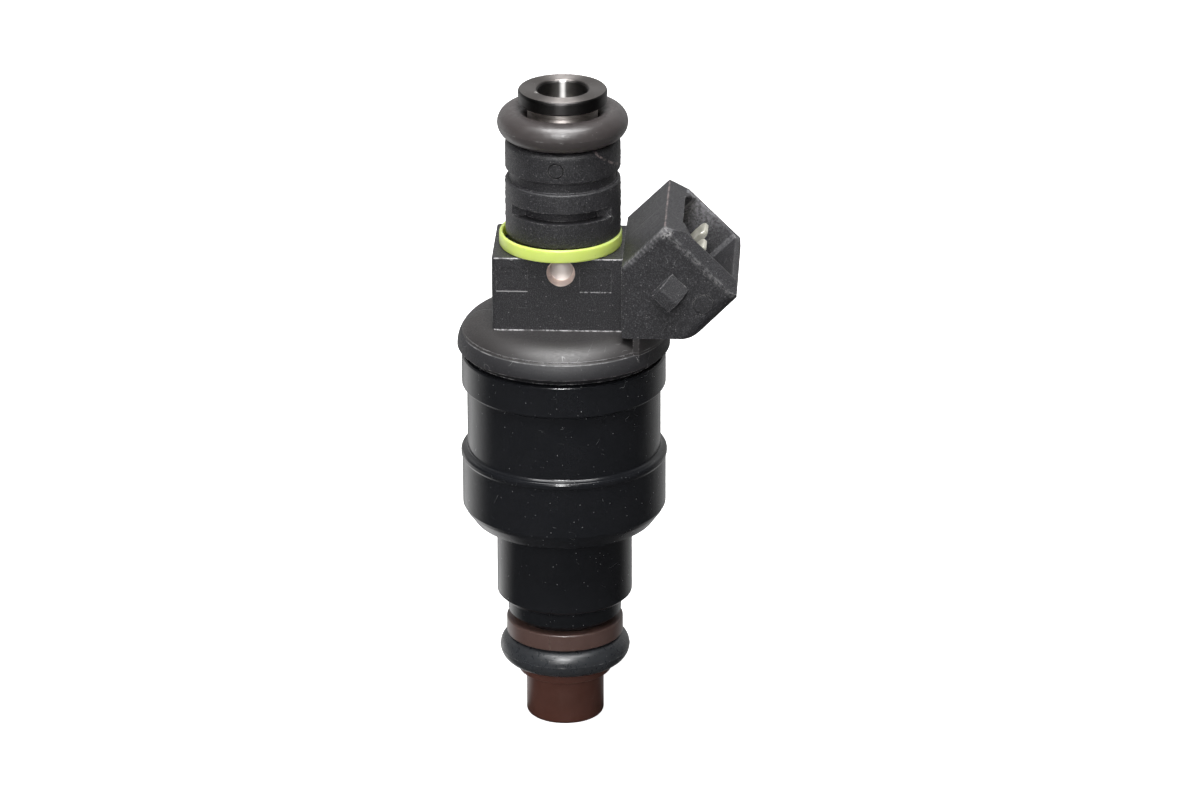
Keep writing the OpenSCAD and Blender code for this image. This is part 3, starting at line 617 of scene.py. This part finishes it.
def terminal_tin():
    look = Look("tin_plate", metallic=0.7)
    cloudy = look.noise(1.6, 4.0, 0.65)
    w = look.math("MULTIPLY", look.math("ADD", look.x, look.z), HALF_ROOT)
    drawn = look.noise(1.0, 3.0, 0.6, look.add("ShaderNodeCombineXYZ", (
        look.math("MULTIPLY", look.y, 14.0), look.math("MULTIPLY", w, 0.7), 0.0)).outputs[0])
    colour = look.mix(cloudy, (0.72, 0.70, 0.58, 1), (0.90, 0.88, 0.80, 1))
    colour = look.mix(look.ramp(drawn, 0.55, 0.75), colour, (0.45, 0.44, 0.36, 1))
    rough = look.ramp(cloudy, 0.3, 0.7, 0.32, 0.48)
    return look.set(Base_Color=colour, Roughness=rough, Normal=look.bump(drawn, 0.25, 0.03))


def plain_metal(name, dark, light, roughness, along=9.0):
    """Machined metal for the pieces inside."""
    look = Look(name, metallic=1.0)
    cloudy = look.noise(0.8, 3.0, 0.6)
    turned = look.noise(1.0, 3.0, 0.6, look.stretch(0.5, 0.5, along))
    rough = look.ramp(cloudy, 0.3, 0.7, roughness - 0.05, roughness + 0.07)
    return look.set(Base_Color=look.mix(cloudy, dark, light), Roughness=rough,
                    Normal=look.bump(turned, 0.2, 0.03))


def plain_plastic(name, dark, light, roughness, scale=4.0):
    """Moulded plastic, rubber or weave for the pieces inside."""
    look = Look(name)
    grain = look.noise(scale, 4.0, 0.6)
    rough = look.ramp(grain, 0.3, 0.7, roughness - 0.05, roughness + 0.08)
    return look.set(Base_Color=look.mix(grain, dark, light), Roughness=rough,
                    Normal=look.bump(grain, 0.3, 0.05))


def weave():
    look = Look("nylon_weave", roughness=0.6)
    around = look.math("ARCTAN2", look.y, look.x)
    across = look.math("SINE", look.math("MULTIPLY", around, 60.0))
    along = look.math("SINE", look.math("MULTIPLY", look.z, 38.0))
    threads = look.math("MULTIPLY", across, along)
    colour = look.mix(look.ramp(threads, -1.0, 1.0), (0.45, 0.44, 0.40, 1), (0.86, 0.85, 0.80, 1))
    return look.set(Base_Color=colour, Normal=look.bump(threads, 0.6, 0.05))


def winding():
    look = Look("enamelled_copper", metallic=1.0)
    turns = look.math("SINE", look.math("MULTIPLY", look.z, 28.0))
    colour = look.mix(look.ramp(turns, -1.0, 1.0), (0.22, 0.07, 0.03, 1), (0.66, 0.28, 0.12, 1))
    return look.set(Base_Color=colour, Roughness=look.ramp(turns, -1, 1, 0.42, 0.24),
                    Normal=look.bump(turns, 0.8, 0.08))


def middle_z(node):
    low, high = node_box(node)
    return (low.z + high.z) / 2


LOOKS = {
    "body_plastic": body_plastic(),
    "housing_paint": housing_paint(),
    "inlet_steel": inlet_steel(),
    "upper_seal_rubber": rubber("warm_grey_rubber", (0.046, 0.040, 0.040, 1),
                                (0.062, 0.054, 0.053, 1), 0.36, middle_z("upper_o_ring")),
    "lower_seal_rubber": rubber("blue_black_rubber", (0.024, 0.026, 0.029, 1),
                                (0.036, 0.039, 0.044, 1), 0.33, middle_z("lower_o_ring")),
    "ring_plastic": ring_plastic(),
    "collar_plastic": brown_plastic("collar_brown", (0.078, 0.044, 0.037, 1),
                                    (0.115, 0.068, 0.058, 1), 0.34),
    "cap_plastic": brown_plastic("cap_brown", (0.070, 0.024, 0.016, 1),
                                 (0.105, 0.040, 0.028, 1), 0.36),
    "terminal_tin": terminal_tin(),
    "filter_brass": plain_metal("brass", (0.66, 0.48, 0.20, 1), (0.80, 0.62, 0.30, 1), 0.3),
    "filter_nylon": plain_plastic("natural_nylon", (0.66, 0.64, 0.56, 1),
                                  (0.80, 0.78, 0.70, 1), 0.45),
    "filter_weave": weave(),
    "plain_steel": plain_metal("turned_steel", (0.44, 0.44, 0.45, 1), (0.60, 0.60, 0.61, 1), 0.34),
    "spring_steel": plain_metal("spring_wire", (0.40, 0.40, 0.42, 1),
                                (0.56, 0.56, 0.58, 1), 0.30, 2.0),
    "ground_steel": plain_metal("ground_steel", (0.56, 0.56, 0.58, 1),
                                (0.68, 0.68, 0.70, 1), 0.18, 24.0),
    "bobbin_plastic": plain_plastic("brown_nylon", (0.16, 0.09, 0.045, 1),
                                    (0.22, 0.13, 0.07, 1), 0.45),
    "winding_copper": winding(),
    "inner_seal_rubber": plain_plastic("black_rubber", (0.016, 0.016, 0.016, 1),
                                       (0.028, 0.028, 0.028, 1), 0.5),
}

# ----------------------------------------------------------------------- pieces


def make_inlet_tube():
    low, high = node_box("inlet_tube")
    top = high.z
    tube = lathe("inlet_tube_look", rounded([
        (2.0, low.z, 0.1), (4.7, low.z, 0.1), (5.0, low.z + 0.3, 0.1), (5.0, 43.0, 0.1),
        (high.x, 43.0, 0.1), (high.x, 45.2, 0.1), (5.2, 45.2, 0.1), (BORE_R, 46.1, 0.2),
        (BORE_R, 69.85, 0.1), (3.9, 69.85, 0.1), (3.9, 73.0, 0.1), (4.1, 73.25, 0.1),
        (4.1, 73.75, 0.08), (4.2, 73.85, 0.05), (4.8, 73.85, 0.06), (4.93, 74.0, 0.05),
        (4.97, top - 0.3, 0.05), (4.92, top - 0.12, 0.05), (4.8, top, 0.04),
        (3.05, top, 0.06), (2.8, top - 0.25, 0.06), (2.8, 70.4, 0.08), (2.3, 70.25, 0.05),
        (2.3, 57.0, 0.1), (2.0, 56.35, 0.1)]))
    for side in (-1, 1):
        y = side * 2.5
        cutter = loft("window", [[(7.1, y - 1.2, z), (8.55, y - 1.2, z), (8.55, y + 1.2, z),
                                  (7.1, y + 1.2, z)] for z in (42.0, 46.5)])
        combine(tube, cutter, "DIFFERENCE")
    return tube


def make_socket():
    """Outside of the socket as one softened block."""
    outline = [(SOCKET_START, 48.9), *arc(13.7, 51.5, 2.6, 270, 315, 10)]
    outline += [(x, z) for x, _, z in (tilted(SOCKET_LOW, 0, SHOULDER_W), tilted(HEEL_U, 0, MOUTH_W),
                                       tilted(-33.5, 0, MOUTH_W), tilted(-35.6, 0, 52.0))]
    outline.append((SOCKET_START, BLOCK_TOP))
    socket = loft("socket", [[(x, y, z) for x, z in outline] for y in (-SOCKET_HALF, SOCKET_HALF)])
    mouth = [(-8.3, 20.0), (8.3, 20.0), (SOCKET_HALF, SHOULDER_W), (6.8, MOUTH_W), (6.8, 53.4),
             (-6.8, 53.4), (-6.8, MOUTH_W), (-SOCKET_HALF, SHOULDER_W)]
    tool = loft("socket_mouth", [[tilted(u, v, w) for v, w in mouth] for u in (-60.0, 0.0)])
    combine(socket, tool, "INTERSECT")
    tidy_mesh(socket)
    ridge_start = Vector((SOCKET_START, BLOCK_TOP))
    run = Vector((11.597, 61.943)) - ridge_start

    def weigh(a, b):
        """Large rounding on the long upper edge in front, small on the rest."""
        for p in (a, b):
            along = Vector((p.x, p.z)) - ridge_start
            off = abs(along.x * run.y - along.y * run.x) / run.length
            if off > 0.02 or abs(p.y + SOCKET_HALF) > 0.02:
                return 0.25
        return 1.0

    soften(socket, 0.75, 4, weigh)
    # The long lower corners have a large radius
    corner = arc(HEEL_U, 6.45, 1.5, 0, 90, 10)
    section = [*corner, (-45.0, 8.5), (-45.0, -8.5), *[(u, -v) for u, v in reversed(corner)]]
    tool = loft("socket_section", [[tilted(u, v, w) for u, v in section] for w in (20.0, 60.0)])
    return combine(socket, tool, "INTERSECT")


def make_block():
    """Square block around the stem's foot."""
    cut = 0.3
    ring = [(BLOCK_LEFT + cut, -BLOCK_HALF), (BLOCK_RIGHT, -BLOCK_HALF), (BLOCK_RIGHT, BLOCK_HALF),
            (BLOCK_LEFT + cut, BLOCK_HALF), (BLOCK_LEFT, BLOCK_HALF - cut),
            (BLOCK_LEFT, cut - BLOCK_HALF)]
    block = loft("block", [[(x, y, z) for x, y in ring] for z in (46.6, BLOCK_TOP)])
    soften(block, 0.16, 3)
    return block


def make_lug(side):
    """Snap lug on the socket's side, a ramp and a square step."""
    root, tip = side * 7.6, side * 9.15
    outline = [(root, 48.9), (side * SOCKET_HALF, 48.9), (tip, 47.0), (tip, 45.7), (root, 45.7)]
    lug = loft("lug", [[tilted(u, v, w) for v, w in outline] for u in (-31.25, -28.55)])
    soften(lug, 0.1, 2)
    return lug


def ring_mark(centre, radius, width, depth):
    """A thin circular groove cutter, depth millimetres into a face that looks to the front."""
    profile = [(radius - width, -depth), (radius, -depth), (radius + 0.02, 1.0),
               (radius - width - 0.02, 1.0)]
    mark = lathe("mark", profile, steps=48)
    turn = Vector((0, -1, 0)).to_track_quat("Z", "Y").to_matrix().to_4x4()
    mark.data.transform(Matrix.Translation(centre) @ turn)
    return mark


def make_stem():
    return lathe("moulded_body_look", rounded([
        (0, 46.8), (5.0, 46.8), (5.0, BLOCK_TOP), (6.0, BLOCK_TOP, 0.1), (6.0, 58.86, 0.05),
        (STEM_R, 58.86, 0.06), (STEM_R, 65.1, 0.42), (5.95, 65.1, 0.12), (5.95, 66.25, 0.12),
        (6.2, 66.3, 0.06), (STEM_R, 66.45, 0.12), (STEM_R, 69.6, 0.8), (5.4, 69.8, 0.3),
        (4.9, 69.85, 0.08), (0, 69.85)]))


def make_dome():
    """Domed shoulder, with a fine parting groove and a skirt below it."""
    outer = -node_box("moulded_body")[0].x
    dome_arc = arc(outer - DOME_R, 45.25, DOME_R, -1, 90, 72)
    cut = [(x - (0.07 if 46.93 < z < 47.17 else 0.0), z) for x, z in dome_arc]
    return lathe("dome", rounded([
        (3.0, 46.12), (BORE_R, 46.12), (5.22, 45.22), (9.18, 45.22), (9.18, 45.92),
        (10.72, 45.92), (10.72, DOME_BASE_Z), (outer - 0.33, DOME_BASE_Z, 0.1)])
        + cut[1:] + [(3.0, 48.7)])


def make_web():
    """Web under the socket, following the dome's edge."""
    edge = [(8.1, -7.94), *arc(0, 0, 11.85, -42.1, 42.1, 24), (8.1, 7.94)]
    return loft("web", [[(x, y, z) for x, y in edge] for z in (46.0, 49.3)])


def make_flash(side):
    """Ragged flash of the stem's mould, up one side of it."""
    steps = 60
    bottom, top = 59.6, 68.6
    rings = []
    for k in range(steps + 1):
        z = bottom + (top - bottom) * k / steps
        out = 6.36 + random.uniform(0.03, 0.14)
        if 65.0 < z < 66.5:
            out = 6.02
        rings.append([(side * 5.9, -0.12, z), (side * out, -0.05, z), (side * out, 0.05, z),
                      (side * 5.9, 0.12, z)])
    return loft("flash", rings)


def make_slot(side):
    """Cutter for a slot of the retaining clip, which stops short of the stem's core."""
    section = ((3.3, 61.6), (3.3, 62.9), (9.0, 62.9), (9.0, 61.6))
    slot = loft("slot", [[(x, side * y, z) for y, z in section] for x in (-8.0, 8.0)])
    core = lathe("core", [(0, 60.0), (5.15, 60.0), (5.15, 64.0), (0, 64.0)])
    return combine(slot, core, "DIFFERENCE")


def make_port():
    """Cutter for the round port in the block's front."""
    port = lathe("port", [(0, 3.0), (1.3, 3.0), (1.3, 4.3), (1.56, 5.38), (1.66, 5.5), (1.66, 5.8),
                          (0, 5.8)], steps=64)
    turn = Matrix.Rotation(math.radians(90), 4, "X")
    port.data.transform(Matrix.Translation((0, 0, PORT_Z)) @ turn)
    return port


def make_recess(x):
    """Cutter for a shallow recess in the block's front."""
    width, top = 3.5, 56.2
    ring = [(x, RECESS_Z), (x + width, RECESS_Z), (x + width, top), (x, top)]
    return loft("recess", [[(px, y, pz) for px, pz in ring] for y in (-6.5, -5.35)])


def make_cavity():
    """Cutter for the socket's inside: keyed by two cut corners, and flared at the mouth."""
    keyed = [(-32.15, -6.3), (-26.45, -6.3), (-26.05, -5.9), (-26.05, 5.9), (-26.45, 6.3),
             (-32.15, 6.3), (-33.75, 3.9), (-33.75, -3.9)]
    rings = []
    for w, grow in ((43.55, -0.12), (52.7, 0.0), (52.95, 0.09), (53.1, 0.28), (55.0, 0.28)):
        rings.append([tilted(SOCKET_MIDDLE + (u - SOCKET_MIDDLE) * (1 + grow / 3.7),
                             v * (1 + grow / 6.3), w) for u, v in keyed])
    return loft("cavity", rings)


def make_body():
    body = make_stem()
    for piece in (make_dome(), make_block(), make_web(), make_socket(), make_lug(-1), make_lug(1)):
        combine(body, piece, "UNION")
    random.seed(4)
    for side in (-1, 1):
        combine(body, make_flash(side), "UNION")
    combine(body, lathe("bore", [(0, 40.0), (BORE_R, 40.0), (BORE_R, 80.0), (0, 80.0)]),
            "DIFFERENCE")
    cutters = (make_slot(-1), make_slot(1), make_port(), make_recess(-7.2), make_recess(2.1),
               make_cavity(),
               ring_mark(Vector(tilted(-26.29, -SOCKET_HALF, 48.8)), 1.2, 0.13, 0.10),
               ring_mark(Vector((-0.45, -6.38, 67.95)), 0.90, 0.16, 0.14))
    for cutter in cutters:
        combine(body, cutter, "DIFFERENCE")
    return body


def o_ring(node, name, seam):
    """Rubber ring, with a hair of moulding flash around its widest part."""
    low, high = node_box(node)
    section = (high.z - low.z) / 2
    middle = high.x - section
    steps = 96
    points = []
    for k in range(steps):
        a = 2 * math.pi * k / steps
        off = (a + math.pi) % (2 * math.pi) - math.pi
        grow = seam * max(0.0, 1 - abs(off) / 0.05) - seam
        points.append((middle + (section + grow) * math.cos(a),
                       low.z + section + (section + grow) * math.sin(a)))
    return lathe(name, points)


def make_colour_ring():
    low, high = node_box("colour_ring")
    outer = (high.x - low.x) / 2
    centre = ((low.x + high.x) / 2, (low.y + high.y) / 2)
    return lathe("colour_ring_look", rounded([
        (RING_BORE_R, low.z, 0.05), (outer, low.z, 0.2), (outer, high.z, 0.24),
        (RING_BORE_R, high.z, 0.2)]), centre)


def make_housing():
    low, high = node_box("magnet_housing")
    bead = high.x
    top = high.z
    step_z = low.z + 11.9
    return lathe("magnet_housing_look", rounded([
        (9.2, 45.21), (9.2, top, 0.05), (10.7, top, 0.15), (10.7, 44.3, 0.05),
        (BAND_R, 44.3, 0.3), (BAND_R, 40.7, 0.2), (11.15, 40.45, 0.1), (BARREL_R, 40.3, 0.15),
        (BARREL_R, 32.95, 0.18), (11.15, 32.82, 0.1), (bead - 0.12, 32.74, 0.1),
        (bead, 32.5, 0.12), (bead, 32.15, 0.1), (BAND_R + 0.01, 31.9, 0.06), (BAND_R, 31.5, 0.1),
        (BAND_R, 26.2, 0.12), (11.2, 25.7, 0.12), (10.25, 24.4, 0.08), (9.9, step_z, 0.1),
        (NECK_R, step_z, 0.12), (NECK_R, 15.3, 0.14), (6.9, 14.6, 0.12), (SKIRT_R, 14.45, 0.1),
        (SKIRT_R, 12.95, 0.15), (5.8, low.z, 0.2), (4.0, low.z, 0.05), (4.0, 13.2), (5.7, 13.2),
        (5.7, 20.0), (5.0, 20.0), (5.0, 26.4), (9.6, 26.4), (9.6, 42.98), (9.87, 42.98),
        (9.87, 45.21)]))


def make_collar():
    low, high = node_box("spacer_collar")
    outer = high.x
    collar = lathe("spacer_collar_look", rounded([
        (3.95, low.z, 0.05), (outer, low.z, 0.15), (outer, high.z, 0.22), (3.95, high.z, 0.05)]))
    seam = loft("seam", [[(outer - 0.08, -0.05, z), (outer + 1, -0.08, z), (outer + 1, 0.08, z),
                          (outer - 0.08, 0.05, z)] for z in (low.z - 1, high.z + 1)])
    seam.data.transform(Matrix.Rotation(math.radians(258), 4, "Z"))
    return combine(collar, seam, "DIFFERENCE")


def make_cap():
    low, high = node_box("pintle_cap")
    outer = high.x
    return lathe("pintle_cap_look", rounded([
        (2.1, 0.35, 0.1), (2.45, low.z, 0.1), (CAP_R, low.z, 0.5), (CAP_R, 5.5, 0.12),
        (outer, 5.5, 0.12), (outer, high.z, 0.12), (3.32, high.z, 0.05), (3.32, 4.93),
        (3.08, 4.77), (3.08, 4.33), (3.32, 4.18), (3.32, 2.05), (2.1, 2.05, 0.05)]))


def make_blade(side):
    """Tin-plated contact blade and its lead down to the coil."""
    v0 = side * 2.5
    half = 0.4
    rings = []
    for w, across, thick in ((43.0, 1.4, half), (51.7, 1.4, half), (52.1, 1.34, half * 0.86),
                             (52.35, 1.2, half * 0.62), (52.45, 1.1, half * 0.5)):
        rings.append([tilted(SOCKET_MIDDLE + du, v0 + dv, w) for du, dv in
                      ((-thick, -across), (thick, -across), (thick, across), (-thick, across))])
    name = "terminal_blade_front_look" if side < 0 else "terminal_blade_rear_look"
    blade = loft(name, rings)
    left_z = 7.4 - (SOCKET_MIDDLE - half) / HALF_ROOT
    right_z = 8.2 - (SOCKET_MIDDLE + half) / HALF_ROOT
    left_end = tilted(SOCKET_MIDDLE - half, 0, 43.05)
    right_end = tilted(SOCKET_MIDDLE + half, 0, 43.05)
    lead = [(7.4, 41.9), (8.2, 41.9), (8.2, right_z), (right_end[0], right_end[2]),
            (left_end[0], left_end[2]), (7.4, left_z)]
    strip = loft("strip", [[(x, y, z) for x, z in lead] for y in (v0 - 0.9, v0 + 0.9)])
    combine(blade, strip, "UNION")
    soften(blade, 0.07, 2)
    return blade


PIECES = [
    (make_inlet_tube(), "inlet_tube", "injector"),
    (make_body(), "moulded_body", "injector"),
    (o_ring("upper_o_ring", "upper_o_ring_look", 0.015), "upper_o_ring", "injector"),
    (o_ring("lower_o_ring", "lower_o_ring_look", 0.03), "lower_o_ring", "injector"),
    (make_colour_ring(), "colour_ring", "ring"),
    (make_housing(), "magnet_housing", "injector"),
    (make_collar(), "spacer_collar", "injector"),
    (make_cap(), "pintle_cap", "injector"),
    (make_blade(-1), "terminal_blade_front", "injector"),
    (make_blade(1), "terminal_blade_rear", "injector"),
]
slot_of = {s["node"]: s["material_slot"] for s in frame["record"]["subparts"]}
for piece, node, body in PIECES:
    finish_piece(piece, node, body, slot_of[node], LOOKS[slot_of[node]])

# The rest are the CAD nodes themselves, which only show in cutaway views
for node, obj in frame["nodes"].items():
    if obj.hide_render:
        continue
    obj.data.materials.clear()
    obj.data.materials.append(LOOKS[slot_of[node]])

# ---------------------------------------------------------------- stage and light


MIDDLE = Vector((0, 0, 0.0375))
# What the floor shows to camera and to diffuse rays, and its glow to the camera
FLOOR_SEEN = (0.90, 0.90, 0.90, 1)
FLOOR_BOUNCE = (0.40, 0.40, 0.40, 1)
FLOOR_GLOW = 1.0
# Its glow to gloss, by how far a point lies towards the back: from, to, least, most
FLOOR_BACK = (-0.14, 0.99, 0.0)
FLOOR_BEHIND = (0.02, 0.75, 0.03, 0.80)
FLOOR_ACROSS = (-0.6, 0.6, 1.45, 0.52)
FLOOR_FAR = (0.80, 0.97, 1.0, 0.38)
# What the surroundings show to gloss by the ray's Y, and to the rest
WORLD_BEHIND = (0.10, 0.90, 0.015, 0.62)
WORLD_SOFT = 0.13


def make_floor():
    """Pale to the camera. Gloss sees it dark in front of the part and bright behind it."""
    side = 2.5
    mesh = bpy.data.meshes.new("floor")
    mesh.from_pydata([(-side, -side, 0), (side, -side, 0), (side, side, 0), (-side, side, 0)],
                     [], [(0, 1, 2, 3)])
    floor = bpy.data.objects.new("floor", mesh)
    bpy.context.scene.collection.objects.link(floor)
    look = Look("pale_floor", roughness=0.9)
    look.shader.inputs["Specular IOR Level"].default_value = 0.0
    path = look.add("ShaderNodeLightPath").outputs
    colour = look.mix(path["Is Camera Ray"], FLOOR_BOUNCE, FLOOR_SEEN)
    colour = look.mix(path["Is Glossy Ray"], colour, (0.02, 0.02, 0.02, 1))
    flat = look.vector("NORMALIZE", look.vector("MULTIPLY", look.mm, (1, 1, 0)))
    back = look.vector("DOT_PRODUCT", flat, FLOOR_BACK)
    behind = look.ramp(back, *FLOOR_BEHIND)
    across = look.vector("DOT_PRODUCT", flat, (1.0, 0.0, 0.0))
    behind = look.math("MULTIPLY", behind, look.ramp(across, *FLOOR_ACROSS))
    behind = look.math("MULTIPLY", behind, look.ramp(back, *FLOOR_FAR))
    glow = look.math("ADD", look.math("MULTIPLY", path["Is Camera Ray"], FLOOR_GLOW),
                     look.math("MULTIPLY", path["Is Glossy Ray"], behind))
    mesh.materials.append(look.set(Base_Color=colour, Emission_Color=(1, 1, 1, 1),
                                   Emission_Strength=glow))


def direction(azimuth, elevation):
    """Unit vector from the part towards a place, in degrees. Azimuth 0 is straight in front."""
    a, e = math.radians(azimuth), math.radians(elevation)
    return Vector((math.sin(a) * math.cos(e), -math.cos(a) * math.cos(e), math.sin(e)))


def softbox(name, azimuth, elevation, distance, width, height, watts, glossy=True, diffuse=True):
    """A rectangular area light that faces the part's middle."""
    back = direction(azimuth, elevation)
    light = bpy.data.lights.new(name, "AREA")
    light.shape = "RECTANGLE"
    light.size = width
    light.size_y = height
    light.energy = watts
    obj = bpy.data.objects.new(name, light)
    obj.location = MIDDLE + back * distance
    obj.rotation_mode = "QUATERNION"
    obj.rotation_quaternion = (-back).to_track_quat("-Z", "Y")
    obj.visible_glossy = glossy
    obj.visible_diffuse = diffuse
    bpy.context.scene.collection.objects.link(obj)


def make_world():
    """White to the camera and soft white to the rest. Gloss sees it dark except behind."""
    world = bpy.data.worlds.new("studio")
    bpy.context.scene.world = world
    world.use_nodes = True
    world.cycles.sampling_method = "NONE"
    tree = world.node_tree
    background = tree.nodes["Background"]
    coordinates = tree.nodes.new("ShaderNodeTexCoord")
    parts = tree.nodes.new("ShaderNodeSeparateXYZ")
    tree.links.new(coordinates.outputs["Generated"], parts.inputs[0])
    behind = tree.nodes.new("ShaderNodeMapRange")
    behind.interpolation_type = "SMOOTHSTEP"
    tree.links.new(parts.outputs["Y"], behind.inputs[0])
    for i, value in enumerate(WORLD_BEHIND):
        behind.inputs[i + 1].default_value = value
    path = tree.nodes.new("ShaderNodeLightPath")
    glossy = tree.nodes.new("ShaderNodeMix")
    tree.links.new(path.outputs["Is Glossy Ray"], glossy.inputs[0])
    glossy.inputs[2].default_value = WORLD_SOFT
    tree.links.new(behind.outputs[0], glossy.inputs[3])
    camera = tree.nodes.new("ShaderNodeMix")
    tree.links.new(path.outputs["Is Camera Ray"], camera.inputs[0])
    tree.links.new(glossy.outputs[0], camera.inputs[2])
    camera.inputs[3].default_value = 1.0
    tree.links.new(camera.outputs[0], background.inputs["Strength"])
    background.inputs["Color"].default_value = (1, 1, 1, 1)


make_floor()
make_world()
softbox("overhead", 0, 78, 0.55, 0.42, 0.24, 6.0, diffuse=False)
softbox("key", -1, 45, 0.60, 0.10, 0.10, 3.0, diffuse=False)
softbox("flash", -1, 26, 0.70, 0.08, 0.08, 1.6, diffuse=False)
softbox("top_soft", 0, 74, 0.60, 0.35, 0.30, 5.0, glossy=False)
softbox("front_fill", -20, 20, 0.80, 0.60, 0.50, 3.8, glossy=False)


def make_camera():
    azimuth, elevation, distance, roll = 3.1, 22.2, 0.780, 0.27
    a, t = math.radians(azimuth), math.radians(roll)
    back = direction(azimuth, elevation)
    right = Vector((math.cos(a), math.sin(a), 0.0))
    up = back.cross(right)
    turned_right = right * math.cos(t) - up * math.sin(t)
    turned_up = right * math.sin(t) + up * math.cos(t)
    lens = bpy.data.cameras.new("camera")
    lens.sensor_width = 36
    lens.lens = 207.8
    lens.shift_x = 0.030
    lens.shift_y = 0.00474
    lens.clip_start = 0.01
    lens.clip_end = 20
    camera = bpy.data.objects.new("camera", lens)
    place = Matrix((turned_right, turned_up, back)).transposed().to_4x4()
    place.translation = MIDDLE + back * distance
    camera.matrix_world = place
    bpy.context.scene.collection.objects.link(camera)
    bpy.context.scene.camera = camera


make_camera()
bpy.context.scene.view_settings.view_transform = "Standard"
